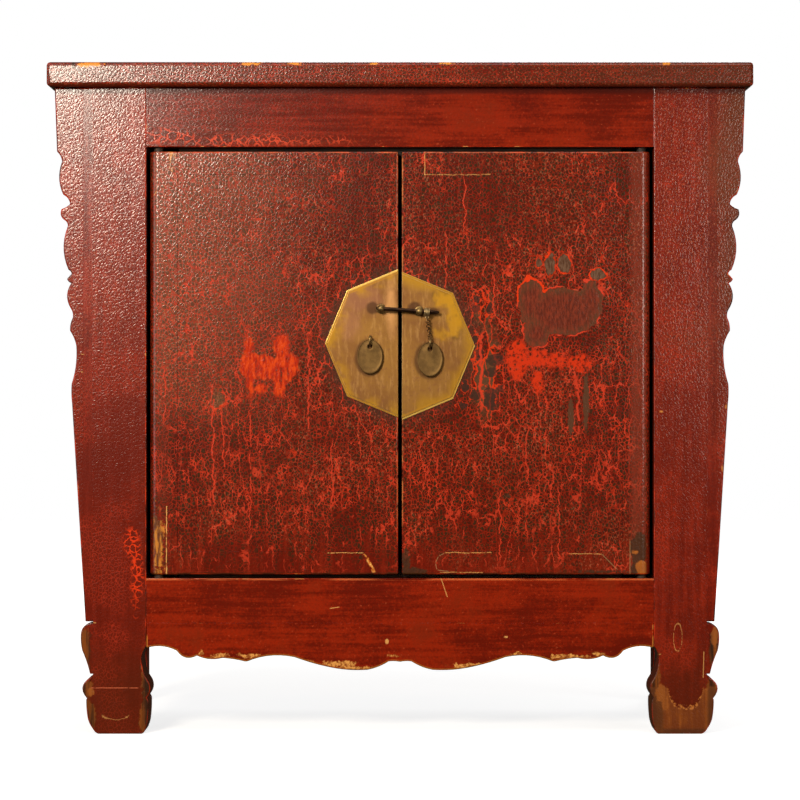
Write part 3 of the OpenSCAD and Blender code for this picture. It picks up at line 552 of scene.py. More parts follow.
def door_coat(name, zones):
    """Dense crackle, glowing near the long cracks, and a dark smudge round the plate."""
    def heat(coat):
        middle = coat.z.band(340, 560, 120)
        coat.zone = inside(coat, zones, 4.0, 0.02, 8.0)
        rivers(coat, middle * 0.3 + coat.zone)
        return coat.near_river * 0.15 + middle * 0.08

    coat = lacquer(name, "Z", 0.0043, 1.3, heat, dense_net, 0.2, None, (122, 29, 8))
    skin = coat.whole.rise(0.40, 0.44) * coat.zone
    coat.paint(skin * 0.85, coat.whole.rise(0.5, 0.7).mix(PLUM, OLIVE))
    coat.paint(coat.river * coat.front * 0.8, coat.zone.mix(CORAL, VERMILION))
    drips = open_net(coat, 0.014, 0.05, (1, 1, 0.2), 0.7) * coat.z.band(235, 340, 40)
    gate = coat.noise(0.02, 3, 0.6).rise(0.48, 0.60)
    coat.paint(drips * gate * coat.front * 0.7, CORAL)
    away = coat.vector("SUBTRACT", coat.place, (0, 0, PLATE_Z))
    away = coat.vector("LENGTH", coat.vector("MULTIPLY", away, (1, 0, 1)), output="Value")
    smudge = (away + coat.noise(0.012, 3) * 0.03).fall(0.106, 0.128)
    coat.paint(smudge * coat.front * (1 - coat.river) * 0.75, (66, 40, 28))
    # painted shade: the door's top and bottom ends, seen in the gaps, are nearly black
    coat.paint(1 - coat.z.band(206.8, 757.3, 0.2), (28, 17, 10), 0.7)
    # pale tan along the door's middle, outer and top edges: partly wear, partly a painted highlight
    rub_and_highlight_gate = coat.noise(0.03, 4, 0.6).rise(0.42, 0.56)
    worn_and_lit_edges = abs(coat.x).fall(0.0036, 0.0044)
    worn_and_lit_edges = worn_and_lit_edges.most(abs(coat.x).rise(0.3226, 0.3236) * 0.6)
    worn_and_lit_edges = worn_and_lit_edges.most(coat.z.rise(0.7546, 0.7554) * 0.6)
    worn_and_lit_edges = worn_and_lit_edges * rub_and_highlight_gate * coat.z.rise(0.25, 0.3) * coat.front
    coat.paint(worn_and_lit_edges * 0.7, (206, 122, 66))
    hinge = abs(coat.x).band(306, 330, 12) * coat.front
    plain = coat.streak.mix((104, 40, 24), (126, 52, 34))
    coat.paint(hinge * (coat.x.rise(0, 0.01) * 0.4 + 0.25), plain)
    # painted shade: the front's lowest two millimetres darken beside the gap under the door
    coat.paint(coat.z.fall(0.2085, 0.2105) * 0.8, (52, 30, 14))
    # painted highlight and shade points where a cloud and the height allow
    highlight_and_shade_points(coat, (coat.cloud + coat.z * 0.3).rise(0.5, 0.8) * 0.35)
    return coat


# %% The left door's coat

left = door_coat("lacquer_left_door", [(-237, 432, 8, 12)])
# painted sheen in the door's upper left: a pale beige wash between the cracks, painted shade in
# the middle of each skin, paler red cracks and painted highlight points
painted_sheen_area = (left.x + (left.cloud - 0.5) * 0.3).fall(-0.29, -0.07) * left.front
painted_sheen_area = painted_sheen_area * (left.z + (left.cloud - 0.5) * 0.3).rise(0.30, 0.62)
left.paint(painted_sheen_area * (1 - left.core) * (1 - left.river) * 0.42, (142, 86, 56))
left.paint(painted_sheen_area * left.pillow.rise(0.65, 1.0) * 0.6, (74, 42, 28))
left.paint(painted_sheen_area * left.core * 0.5, (178, 58, 38))
highlight_and_shade_points(left, painted_sheen_area * 0.15)
flame = ovals(left, [(-197, 503, 5, 14), (-194, 478, 14, 17), (-195, 456, 5, 14),
                     (-174, 477, 13, 15), (-149, 477, 17, 18), (-154, 504, 9, 14),
                     (-157, 454, 8, 15), (-182, 449, 7, 5)], 3.2, 0.009)
streaks = left.noise(0.004, 3, 0.6, where=left.scaled(1, 1, 0.3))
flame = flame.fall(-1.5, 3.0) * left.front
red = streaks.rise(0.4, 0.65).mix((160, 32, 8), (202, 64, 14))
left.paint(flame * streaks.rise(0.30, 0.44), red)
veins(left, [(-243, 280, 470, 1.4), (-230, 320, 430, 1.0), (-195, 250, 440, 1.0),
             (-119, 380, 540, 1.2), (-88, 290, 390, 1.0), (-306, 400, 490, 1.0)])
bare = inside(left, [(-318, 246, 11, 44), (-296, 751, 4, 9)], 6, 0.008, 2)
grain = left.noise(0.004, 3, where=left.scaled(1, 1, 0.25)).rise(0.4, 0.6)
left.paint(bare * 0.85, grain.mix((92, 46, 10), (196, 124, 36)), 0.33)
curl = scratch(left, -48, 234, -41, 228, 1.2).most(scratch(left, -43, 229, -33, 209, 2.6))
ragged = left.noise(0.004, 3, 0.65)
cream = ragged.rise(0.5, 0.6).mix((196, 112, 34), (236, 176, 96))
left.paint(curl * ragged.rise(0.36, 0.46), cream, 0.35)
scratches(left, [(-326, 692, -316, 706)], 0.6)
hairlines(left, [(-94, -48, 235, 235.4), (-304, -303, 206, 296)], 0.8)
worn_edges(left, 0.5)
LEFT_DOOR = left.close(0.35, 0.0003)
print("left door: flame patch, six veins, bare hinge corner")

# %% The right door's coat

right = door_coat("lacquer_right_door", [(112, 470, 20, 55), (108, 555, 14, 20)])
island = ovals(right, [(211, 549, 50, 30), (171, 562, 17, 28), (177, 521, 16, 19),
                       (248, 562, 16, 27)], 3.4, 0.014)
cells = ovals(right, [(195, 611, 6, 13), (213.5, 611, 8, 12), (180, 613, 3, 6),
                      (257, 597, 10, 7)], 2.2, 0.008)
fibre = right.noise(0.003, 3, 0.6, where=right.scaled(1, 1, 0.3))
tan = fibre.rise(0.36, 0.62).mix((118, 48, 30), (84, 34, 22))
tan = (island.rise(-12.0, 1.0) * fibre.rise(0.3, 0.6) * 0.7).mix(tan, OLIVE)
right.paint(island.fall(-0.5, 0.5) * right.front * 0.94, tan)
skin = fibre.rise(0.35, 0.6).mix((72, 44, 28), (100, 72, 54))
right.paint(cells.fall(-0.5, 0.5) * right.front, skin)
strong = right.noise(0.016, 3).rise(0.46, 0.56)
right.paint(rim(right, island, 1.6) * strong, CORAL)
right.paint(rim(right, cells, 1.4) * (strong * 0.6 + 0.4), VERMILION)
right.paint(rim(right, island, 2.2) * inside(right, [(168, 577, 24, 20)], 1), VERMILION)
right.paint(inside(right, [(242, 430, 4, 34), (222, 412, 4, 22)], 1.4), (84, 52, 34))
scales = ovals(right, [(99, 565, 5, 5), (98, 552, 6, 5), (117, 553, 5, 8), (97, 514, 4, 6),
                       (103, 493, 6, 8), (124, 486, 12, 8), (118, 470, 8, 6), (85, 451, 5, 8),
                       (98, 441, 7, 8), (117, 436, 8, 15), (82, 427, 7, 4), (131, 449, 4, 6)],
               2.4, 0.005)
right.paint(scales.fall(-0.8, 0.8) * right.front * 0.8, (56, 36, 28))
right.paint(rim(right, scales, 0.6) * strong * 0.8, VERMILION)
glow = ovals(right, [(152, 487, 13, 25), (178, 493, 11, 6), (179, 458, 6, 13), (204, 487, 9, 8),
                     (237, 481, 11, 12), (192, 484, 40, 6)], 2.6, 0.007)
blots = right.noise(0.0045, 3, 0.65).rise(0.34, 0.54)
right.paint(glow.fall(-1.0, 3.0) * right.front * blots, (190, 46, 14))
veins(right, [(106, 410, 530, 2.6), (232, 385, 470, 2.2), (122, 540, 600, 1.2),
              (60, 560, 660, 1.0), (190, 300, 450, 1.0), (84, 640, 730, 1.0),
              (165, 240, 420, 1.0), (130, 216, 330, 1.2), (207, 216, 330, 1.0)])
olive = inside(right, [(311, 240, 12, 22), (314, 214, 14, 10), (8, 224, 5, 20), (20, 211, 16, 5),
                       (141, 309, 5, 3), (262, 211, 30, 2)], 2.4, 0.006, 1)
right.paint(olive * 0.85, fibre.mix((16, 12, 4), (76, 44, 14)), 0.33)
block = inside(right, [(315, 216, 9, 9), (306, 236, 5, 2.5)], 1.6, 0.006, 1)
right.paint(block * 0.9, fibre.mix((120, 56, 12), (190, 108, 30)), 0.33)
hairlines(right, [(31.5, 32.5, 727, 757), (32, 117, 726.5, 727.5), (58, 119, 235, 236),
                  (220, 262, 233.5, 234.3), (52, 108, 209.6, 210.4)], 0.55)
scratches(right, [(262, 234, 283, 213), (299, 206, 299, 252), (58, 235, 50, 231),
                  (50, 231, 46, 222), (46, 222, 48, 213), (48, 213, 64, 211)],
          0.6, (150, 120, 80))
worn_edges(right, 0.5)
RIGHT_DOOR = right.close(0.35, 0.0003)
print("right door: dark island, sixteen lifted skins, nine veins")

# %% [markdown]
# ## Bare wood, brass and bronze
#
# Inside and behind, the elm was never lacquered, only darkened by hands and dust. The door stops
# are painted near black as shade, since they show only in the gaps. The plates are cast brass that
# has been polished over an older patina. The posts, pin, chain and pulls have kept their
# olive-brown skin.

# %% Bare wood


def bare_elm(name, grain, pale, dark):
    """Wood with long rings along the board and fine pores in them."""
    coat = Finish(name, 0.62, Specular_IOR_Level=0.35)
    along = coat.scaled(*BRUSHED[grain])
    slow = coat.noise(0.03, 3, 0.5, where=along) * 0.4
    rings = coat.noise(0.006, 5, 0.7, where=along) * 0.6 + slow
    pores = coat.noise(0.0012, 3, 0.7, where=along)
    cloud = coat.noise(0.12, 3)
    coat.colour = rings.rise(0.36, 0.62).mix(dark, pale)
    coat.paint(pores.rise(0.50, 0.66) * 0.5, (74, 46, 26))
    coat.paint(cloud.rise(0.5, 0.75) * 0.4, (92, 60, 36))
    coat.height = rings * 0.6 + pores
    return coat.close(0.3, 0.0006)


BOARDS = bare_elm("bare_elm_boards", "X", (172, 128, 82), (128, 88, 52))
UPBOARDS = bare_elm("bare_elm_upright", "Z", (166, 122, 78), (122, 84, 50))
# painted shade: the door stops are nearly black, as they show only in the gaps round the doors
SHADED_STOPS = bare_elm("bare_elm_stops_shaded", "X", (46, 32, 22), (30, 20, 13))

# %% Brass and bronze

OCTAGON = 0.924, 0.383    # cosine and sine of half an eighth of a turn


def brass_plate(name):
    """Warm brass, mottled mauve-brown, with golden stains, a painted highlight on the rim and
    painted shadows of the posts, bead and pulls.
    """
    coat = Finish(name, 0.4, Metallic=0.75)
    coat.front = only_front(coat)
    cloud = coat.noise(0.05, 4, 0.6)
    speck = coat.noise(0.004, 4, 0.65)
    brushed = coat.noise(0.004, 4, 0.65, where=coat.scaled(1, 1, 0.2))
    coat.colour = cloud.rise(0.35, 0.65).mix((147, 104, 46), (127, 84, 41))
    coat.paint(brushed.rise(0.48, 0.7) * 0.4, (190, 146, 86))
    coat.paint(speck.rise(0.50, 0.7) * 0.5, (128, 82, 52))
    mauve = inside(coat, [(-50, 565, 26, 16), (-66, 535, 14, 16)], 8, 0.02, 8)
    coat.paint(mauve * 0.5, (146, 96, 74))
    pale = inside(coat, [(-12, 560, 6, 34)], 3, 0.02, 4)
    coat.paint(pale * 0.5, (224, 166, 104))
    out, up = abs(coat.x), abs(coat.z - PLATE_Z)
    cos, sin = OCTAGON
    reach = (out * cos + up * sin).most(out * sin + up * cos)
    where = coat.noise(0.03, 3, 0.6)
    gold = (where + coat.x.rise(-0.02, 0.07) * 0.15).rise(0.42, 0.54)
    near = (reach + where * 0.03).rise(0.086, 0.104)
    coat.paint(near * gold * 0.8, (170, 124, 22))
    murk = inside(coat, [(58, 566, 16, 12), (70, 535, 10, 22), (57, 520, 12, 9)], 6, 0.014, 5)
    coat.paint(murk * 0.7, where.rise(0.4, 0.6).mix((96, 66, 22), (190, 138, 22)))
    # painted highlight on the bevelled rim: a golden band and a bright line at its outer edge
    coat.paint(reach.rise(0.0852, 0.0868) * 0.5, (176, 126, 34))
    coat.paint(reach.rise(0.0893, 0.0897) * 0.9, (248, 206, 104), 0.25)
    # painted shadows of the pulls on the plate
    for row in [(-40, 489, 18.5, 24.5), (37, 485.5, 18.5, 24.5)]:
        coat.paint(inside(coat, [row], 0.6, 0.01, 2) * 0.75, (84, 54, 28))
    # painted shadows of the posts and the bead on the plate
    for row in [(-36, 553.5, 8, 8), (19, 554.5, 9, 7), (42, 549, 9, 5)]:
        coat.paint(inside(coat, [row], 0.8, 0.01, 2) * 0.8, (74, 44, 24))
    coat.paint(coat.wear() * 0.6, (240, 206, 140), 0.25)
    coat.rough = coat.rough + speck * 0.12
    coat.height = speck + cloud * 2 + brushed
    return coat.close(0.12, 0.0006)


def old_bronze(name, pale, dark, rough=0.42):
    """Olive-brown bronze with a dull skin."""
    coat = Finish(name, rough, Metallic=0.85)
    cloud = coat.noise(0.012, 4, 0.6)
    speck = coat.noise(0.0012, 3, 0.65)
    coat.colour = cloud.rise(0.35, 0.65).mix(dark, pale)
    coat.paint(speck.rise(0.55, 0.8) * 0.5, (56, 40, 26))
    coat.front = 1
    # painted shade: a dark line along the outline of each pull
    pull_rim_shade = ovals(coat, [(-39, 490.2, 16.5, 22.5), (39, 486.8, 16.5, 22.5)], 0.1) * -1000
    coat.paint(pull_rim_shade.band(-400, 2600, 500) * 0.8, (62, 42, 22))
    coat.height = speck
    return coat.close(0.25, 0.0004)


BRASS = brass_plate("brass_plate")
BRONZE = old_bronze("old_bronze", (164, 138, 86), (110, 84, 50))
DARK_BRONZE = old_bronze("dark_bronze", (84, 58, 40), (48, 32, 22), 0.32)
PULLS = old_bronze("bronze_pulls", (124, 95, 52), (102, 76, 41), 0.6)
PALE_BRONZE = old_bronze("pale_bronze", (214, 190, 140), (166, 138, 92))
CHAIN = old_bronze("chain_bronze", (128, 98, 60), (74, 52, 32), 0.3)
print("metals: brass and five bronzes")

# %% [markdown]
# ## Softening the boards
#
# No edge of the real piece is sharp. A copy of each solid is merged, its flat faces are joined
# again, and its outer corners get a bevel weight in millimetres. One Bevel modifier then rounds
# every corner by its own weight. The new faces are remembered as wear, so that the lacquer can be
# rubbed through exactly there.

# %% Small tools for meshes and objects

LACQUER, WOOD, METAL = "red_lacquer", "bare_wood", "aged_bronze"


def put(name, data):
    """Puts a mesh, a light or a camera into the scene."""
    item = bpy.data.objects.new(name, data)
    bpy.context.scene.collection.objects.link(item)
    return item


def mesh_of(bm, name):
    mesh = bpy.data.meshes.new(name)
    bm.to_mesh(mesh)
    bm.free()
    return mesh


def evaluated(work):
    """The plain mesh of a working object, which then goes with its modifiers."""
    graph = bpy.context.evaluated_depsgraph_get()
    mesh = bpy.data.meshes.new_from_object(work.evaluated_get(graph))
    work.modifiers.clear()
    bpy.data.objects.remove(work)
    return mesh


def finished(name, mesh, finish, slot, body, *replaced):
    """A finished piece on a body, standing for CAD nodes."""
    piece = put(name, mesh)
    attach(piece, body)
    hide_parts(*replaced)
    for node in replaced:
        nodes[node].data.materials.clear()
        nodes[node].data.materials.append(finish)


# %% Copy, merge, weigh and bevel one solid

WIDEST = 4.0


def softened(node, round_mm, special):
    """A softened copy of a CAD node. special lists (test of an edge's middle, width in mm)."""
    bm = bmesh.new()
    bm.from_mesh(nodes[node].data)
    bmesh.ops.remove_doubles(bm, verts=bm.verts, dist=2e-6)
    bmesh.ops.dissolve_limit(bm, angle_limit=math.radians(0.4), verts=bm.verts, edges=bm.edges)
    weight = bm.edges.layers.float.new("bevel_weight_edge")
    for edge in bm.edges:
        if len(edge.link_faces) != 2 or edge.calc_face_angle_signed(0) < math.radians(32):
            continue
        middle = (edge.verts[0].co + edge.verts[1].co) / 2
        width = round_mm
        for test, other in special:
            if test(middle):
                width = other
        edge[weight] = width / WIDEST
    for edge in bm.edges:
        edge.smooth = edge[weight] > 0 or edge.calc_face_angle(0) < math.radians(28)
    mesh = mesh_of(bm, node + "_work")
    mesh.materials.append(None)
    mesh.materials.append(None)
    work = put(node + "_work", mesh)
    bevel = work.modifiers.new("soft", "BEVEL")
    bevel.limit_method = "WEIGHT"
    bevel.width = WIDEST / 1000
    bevel.segments = 3
    bevel.use_clamp_overlap = False
    bevel.material = 1
    level = work.modifiers.new("level", "WEIGHTED_NORMAL")
    level.mode = "FACE_AREA"
    level.keep_sharp = True
    for face in mesh.polygons:
        face.use_smooth = True
    return evaluated(work)


def mark_wear(mesh):
    """Writes 1 on points that only bevelled faces touch, and 0 on all others."""
    touched = [1.0] * len(mesh.vertices)
    for face in mesh.polygons:
        if face.material_index != 1:
            for v in face.vertices:
                touched[v] = 0.0
    wear = mesh.attributes.new("wear", "FLOAT", "POINT")
    wear.data.foreach_set("value", touched)


def dress(node, finish, slot, round_mm=0.8, special=(), inner=None, inner_finish=None):
    """Replaces a CAD node by its softened copy in a finish. inner picks faces left bare."""
    mesh = softened(node, round_mm, special)
    mark_wear(mesh)
    mesh.materials.clear()
    mesh.materials.append(finish)
    if inner is not None:
        mesh.materials.append(inner_finish)
    for face in mesh.polygons:
        face.material_index = int(inner is not None and inner(face.center, face.normal))
    finished(node + "_finished", mesh, finish, slot, nodes[node]["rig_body"], node)


# %% [markdown]
# ## The top slab and the front frame
#
# The slab's end corners were rounded with a plane, so its solids already have that. The frame's
# joints are tight: where two members meet in one face, the bevel is only a hairline, and the
# edges that hands reach are rounder.

# %% Dress the slab

for node in ("top_frame_front", "top_frame_back", "top_frame_left", "top_frame_right"):
    dress(node, SLAB, LACQUER, 0.25)
dress("top_panel", SLAB, LACQUER, 0.3)
dress("top_battens", BOARDS, WOOD)
print("slab: 6 pieces")

# %% Dress legs, wings, leaves, rails and apron


def on_front(p):
    """An edge of the front faces."""
    return p.y < -0.2135


def glued_joint(p):
    """An edge of a leg, wing or leaf in the glue line between them."""
    return 0.3985 < abs(p.x) < 0.3995


def rail_joint(p):
    """An edge of the bottom rail or the apron in the line between them."""
    return 0.1435 < p.z < 0.1445


def carved_edge(p):
    """An edge of the apron's carved outline."""
    return p.z < 0.13


def behind(centre, normal):
    return normal.y > 0.9 and centre.z > 0.15


for side in ("left", "right"):
    for part, finish, width, front in (("front_leg_", UPRIGHT, 0.6, 1.6),
                                       ("wing_", UPRIGHT, 0.8, 2.2), ("leaf_", UPRIGHT, 0.8, 1.4)):
        dress(part + side, finish, LACQUER, width, [(on_front, front), (glued_joint, 0.2)])
    dress("rear_leg_" + side, FLANK, LACQUER, 1.2)
dress("front_top_rail", RAIL, LACQUER, 0.5, [(on_front, 1.2)], behind, BOARDS)
for node, edges in (("front_bottom_rail", (on_front, 1.2)), ("front_apron", (carved_edge, 2.6))):
    dress(node, RAIL, LACQUER, 0.5, [edges, (rail_joint, 0.15)], behind, BOARDS)
print("front frame and rear legs: 11 pieces")

# %% [markdown]
# ## Sides, back and inside
#
# The sides are frames with loose panels, so that the wood can swell. They are lacquered outside
# and bare inside. The back and all the boards inside are bare.

# %% Dress the sides, the back and the inside


def faces_right(centre, normal):
    return normal.x > 0.9


def faces_left(centre, normal):
    return normal.x < -0.9


for side, inner in (("left", faces_right), ("right", faces_left)):
    for part in ("side_top_rail_", "side_bottom_rail_", "side_apron_"):
        dress(part + side, FLANK, LACQUER, 0.7, (), inner, BOARDS)
    dress("side_panel_" + side, FLANK, LACQUER, 0.5, (), inner, UPBOARDS)
for node in ("back_top_rail", "back_bottom_rail", "floor_boards", "shelf_boards",
             "shelf_bearer_left", "shelf_bearer_right", "floor_bearer"):
    dress(node, BOARDS, WOOD)
for node in ("door_stop_top", "door_stop_bottom"):
    dress(node, SHADED_STOPS, WOOD)
for node in ("back_muntin", "back_panel_left", "back_panel_right"):
    dress(node, UPBOARDS, WOOD)
print("sides, back and inside: 20 pieces")

# %% [markdown]
# ## The doors and the plates
#
# Each door is a frame round a flush panel. The joints in its face show only as hairlines, while
# its outline is rounded, most of all on the side that turns on the pivots. The plates are two
# halves of an octagon with a bevelled rim. The softened rim catches the light, and a highlight is
# painted along it as well.

# %% Dress the doors and the plates


def flush_joint(p):
    return p.y < -0.2125


def outline(p):
    outer = abs(p.x) > 0.3250 or abs(p.x) < 0.0030 or p.z > 0.7565 or p.z < 0.2075
    return outer and -0.2135 < p.y < -0.1905


def door_back(centre, normal):
    return normal.y > 0.5 and centre.y > -0.2


for side, finish in (("left", LEFT_DOOR), ("right", RIGHT_DOOR)):
    for part in ("hinge_stile", "lock_stile", "top_rail", "bottom_rail", "panel"):
        dress(side + "_door_" + part, finish, LACQUER, 0.3, [(flush_joint, 0.12), (outline, 2.2)],
              door_back, UPBOARDS)
    dress(side + "_door_battens", BOARDS, WOOD)
for side in ("left", "right"):
    dress(side + "_plate", BRASS, "brass_plate", 0.45)
print("doors: 12 pieces, plates: 2 halves")

# %% [markdown]
# ## Posts, pin and rings
#
# These were turned and drawn, so each one is a profile spun round an axis. A profile is a list of
# steps along the axis with the radius at each. Where a part has a bore, the profile is closed
# round it instead of running from pole to pole.

# %% Spin a profile round an axis


def turns(steps):
    return [2 * math.pi * k / steps for k in range(steps)]


def join(bm, rings, closed=False):
    """Faces between neighbouring rings. A ring of one point is a pole."""
    for low, high in list(zip(rings, rings[1:])) + [(rings[-1], rings[0])] * closed:
        steps = max(len(low), len(high))
        for k in range(steps):
            m = (k + 1) % steps
            corners = [low[k % len(low)], low[m % len(low)], high[m % len(high)],
                       high[k % len(high)]]
            bm.faces.new(dict.fromkeys(corners))


def spun(bm, profile, start, axis, steps=40, closed=False):
    """Adds a turned body. profile holds (way along the axis, radius), in millimetres."""
    turn = Vector((0, 0, 1)).rotation_difference(Vector(axis).normalized()).to_matrix()
    rings = []
    for along, radius in profile:
        angles = turns(steps) if radius > 0 else [0]
        points = [Vector((radius * math.cos(a), radius * math.sin(a), along)) for a in angles]
        rings.append([bm.verts.new(start + turn @ (p / 1000)) for p in points])
    join(bm, rings, closed)


def keep(bm, name, finish, body, *replaced):
    """Turns a bmesh into a finished metal piece on a body."""
    bmesh.ops.recalc_face_normals(bm, faces=bm.faces)
    mesh = mesh_of(bm, name)
    for face in mesh.polygons:
        face.use_smooth = True
    mesh.materials.append(finish)
    finished(name, mesh, finish, METAL, body, *replaced)


# %% The posts with their ball heads

TILT = math.atan(3.4 / 50)
PIN_WAY = Vector((math.cos(TILT), 0, -math.sin(TILT)))
BALL_Y = -0.2235
POST = {"left": Vector((-0.025, BALL_Y, 0.5527)), "right": Vector((0.025, BALL_Y, 0.5493))}


def ball_profile(radius, bore, steps=14):
    """Half circle from one mouth of the bore to the other, then back through it."""
    reach = math.acos(bore / radius)
    angles = [reach * (2 * k / steps - 1) for k in range(steps + 1)]
    outer = [(radius * math.sin(a), radius * math.cos(a)) for a in angles]
    lip = outer[-1][0]
    return outer + [(lip * 0.5, bore), (0, bore), (-lip * 0.5, bore)]


NECK = [(0, 0), (0, 6.3), (0.5, 6.5), (1.0, 6.4), (1.4, 5.6), (1.6, 3.6), (2.4, 2.9),
        (4.6, 2.8), (5.0, 2.2), (5.0, 0)]
SHANK = [(-1.0, 0), (-1.0, 1.8), (24.5, 1.8), (24.5, 0)]
CLENCH = [(-7, 0), (-7, 0.9), (-6, 1.3), (6, 1.3), (7, 0.9), (7, 0)]
for side, centre in POST.items():
    bm = bmesh.new()
    spun(bm, ball_profile(5.0, 2.8), centre, PIN_WAY, closed=True)
    foot = Vector((centre.x, -0.2150, centre.z))
    spun(bm, NECK, foot, (0, -1, 0))
    spun(bm, SHANK, foot, (0, 1, 0), 24)
    spun(bm, CLENCH, Vector((centre.x, -0.1898, centre.z)), (0, 0, 1), 20)
    keep(bm, side + "_post", BRONZE, side + "_door", side + "_eye_post")
print("posts: 2, ball heads 10 mm across")

# %% The lock pin

bm = bmesh.new()
run = [(-31, 0), (-30.9, 1.0), (-30.4, 1.9), (-29.6, 2.4), (-28.5, 2.5), (-6, 2.45), (18, 2.5),
       (40, 2.5), (41.3, 2.5), (45, 2.15), (49.3, 1.7), (50.3, 1.4), (50.9, 0.8), (51, 0)]
spun(bm, run, Vector((0, BALL_Y, 0.551)), PIN_WAY, 32)
keep(bm, "pin", DARK_BRONZE, "lock_pin", "lock_pin")
print("pin: 82 mm long")

# %% The rings that carry the pulls

RING = {"left": Vector((-0.039, -0.2196, 0.5114)), "right": Vector((0.039, -0.2196, 0.5080))}
RING_CLENCH = [(-8, 0), (-8, 0.8), (-7, 1.1), (7, 1.1), (8, 0.8), (8, 0)]


def ring_staple(bm, centre, radius=0.0062, wire=0.0012, arc=64):
    """The open front of a ring, whose two legs go straight back through the door."""
    angle = math.asin(0.0046 / radius)
    reach = radius * math.cos(angle)
    path = [Vector((0, 0.0206, reach)), Vector((0, 0.0060, reach))]
    for k in range(arc + 1):
        a = angle - (k / arc) * (math.pi + 2 * angle)
        path.append(Vector((0, math.sin(a), math.cos(a))) * radius)
    path += [Vector((0, 0.0060, -reach)), Vector((0, 0.0206, -reach))]
    sideways = Vector((1, 0, 0))
    rings = []
    for before, p, after in zip(path[:1] + path, path, path[1:] + path[-1:]):
        up = (after - before).normalized().cross(sideways).normalized()
        rings.append([bm.verts.new(centre + p + (sideways * math.cos(b) + up * math.sin(b)) * wire)
                      for b in turns(14)])
    join(bm, rings)
    bm.faces.new(rings[0])
    bm.faces.new(list(reversed(rings[-1])))


for side, centre in RING.items():
    bm = bmesh.new()
    ring_staple(bm, centre)
    spun(bm, RING_CLENCH, Vector((centre.x, -0.1983, centre.z)), (0, 0, 1), 16)
    keep(bm, side + "_ring", BRONZE, side + "_door", side + "_pull_ring")
print("rings: 2, of 2.4 mm wire")

# %% [markdown]
# ## The pulls
#
# Each pull is a cast oval with a raised rim and a hole near its top. The oval and the hole don't
# share a middle, so its faces are rings that blend from one outline to the other, and the height of
# each ring draws the rim.

# %% Blend from the hole to the oval

HALF_WIDE, HALF_HIGH = 16.5, 22.5
HOLE_UP = HALF_HIGH - 9
PULL_FRONT = [(0.00, -0.55), (0.03, -0.80), (0.10, -0.80), (0.16, -0.52), (0.80, -0.50),
              (0.885, -0.52), (0.92, -0.78), (0.965, -0.80), (0.99, -0.60), (1.00, -0.25)]
PULL_BACK = [(1.00, 0.45), (0.97, 0.75), (0.10, 0.75), (0.00, 0.55)]


def pull_ring(share, deep):
    """Points on a ring from the hole, share 0, to the oval, share 1."""
    for a in turns(72):
        hole = Vector((3 * math.cos(a), deep, 3 * math.sin(a) + HOLE_UP))
        edge = Vector((HALF_WIDE * math.cos(a), deep, HALF_HIGH * math.sin(a)))
        yield hole.lerp(edge, share) / 1000


for side, centre in RING.items():
    bm = bmesh.new()
    middle = centre - Vector((0, 0, 7.7 + HOLE_UP)) / 1000
    steps = PULL_FRONT + PULL_BACK
    join(bm, [[bm.verts.new(middle + p) for p in pull_ring(*s)] for s in steps], True)
    keep(bm, side + "_oval_pull", PULLS, side + "_pull", side + "_pull")
print("pulls: 2 ovals of 33 by 45 mm")

# %% [markdown]
# ## The wound bead and the chain
#
# A strip of wire is wound round a sleeve on the pin, and a chain hangs from it. Both repeat one
# small thing along a path, which is what Geometry Nodes do best: a spiral swept by a circle, and
# one link set down again and again with a quarter turn between neighbours.

# %% Small tools for building a geometry tree


def new_tree(name, **sizes):
    """An empty geometry tree, its named number inputs, and the socket that it ends in."""
    tree = bpy.data.node_groups.new(name, "GeometryNodeTree")
    for key, value in sizes.items():
        kind = "NodeSocketInt" if isinstance(value, int) else "NodeSocketFloat"
        tree.interface.new_socket(key, in_out="INPUT", socket_type=kind).default_value = value
    tree.interface.new_socket("Geometry", in_out="OUTPUT", socket_type="NodeSocketGeometry")
    start = tree.nodes.new("NodeGroupInput")
    return tree, start.outputs


def plant(tree, kind, sockets=None, **settings):
    """Adds a node to a geometry tree and returns its first output."""
    node = tree.nodes.new(kind)
    for key, value in settings.items():
        setattr(node, key, value)
    for key, value in (sockets or {}).items():
        if isinstance(value, bpy.types.NodeSocket):
            tree.links.new(value, node.inputs[key])
        else:
            node.inputs[key].default_value = value
    return node.outputs[0] if node.outputs else None


def finish_tree(tree, last, finish):
    """Every tree ends in realised instances with their material set."""
    real = plant(tree, "GeometryNodeRealizeInstances", {0: last})
    done = plant(tree, "GeometryNodeSetMaterial", {"Geometry": real, "Material": finish})
    plant(tree, "NodeGroupOutput", {0: done})
    return tree


def grown(tree, **sizes):
    """Runs a tree on an empty mesh with its inputs set, and returns the plain mesh."""
    holder = put(tree.name + "_work", bpy.data.meshes.new(tree.name + "_work"))
    modifier = holder.modifiers.new("grow", "NODES")
    modifier.node_group = tree
    for item in tree.interface.items_tree:
        if item.in_out == "INPUT" and item.name in sizes:
            modifier[item.identifier] = sizes[item.name]
    return evaluated(holder)


def small_ring(bm, centre, radius, wire=0.45):
    """A ring of wire that faces the front."""
    profile = [(wire * math.sin(a), radius + wire * math.cos(a)) for a in turns(10)]
    spun(bm, profile, centre, (0, 1, 0), 28, closed=True)


# %% Wind the wire on its sleeve, and give it a loop for the chain

BEAD = Vector((0.035, BALL_Y, 0.5482))
LOOP = Vector((0.035, BALL_Y, 0.5415))
FOOT = Vector((0.039, -0.2196, 0.51465))
LOOP_RADIUS, FOOT_RADIUS = 1.8, 2.4


def circle(tree, points, radius):
    return plant(tree, "GeometryNodeCurvePrimitiveCircle", {"Resolution": points, "Radius": radius})


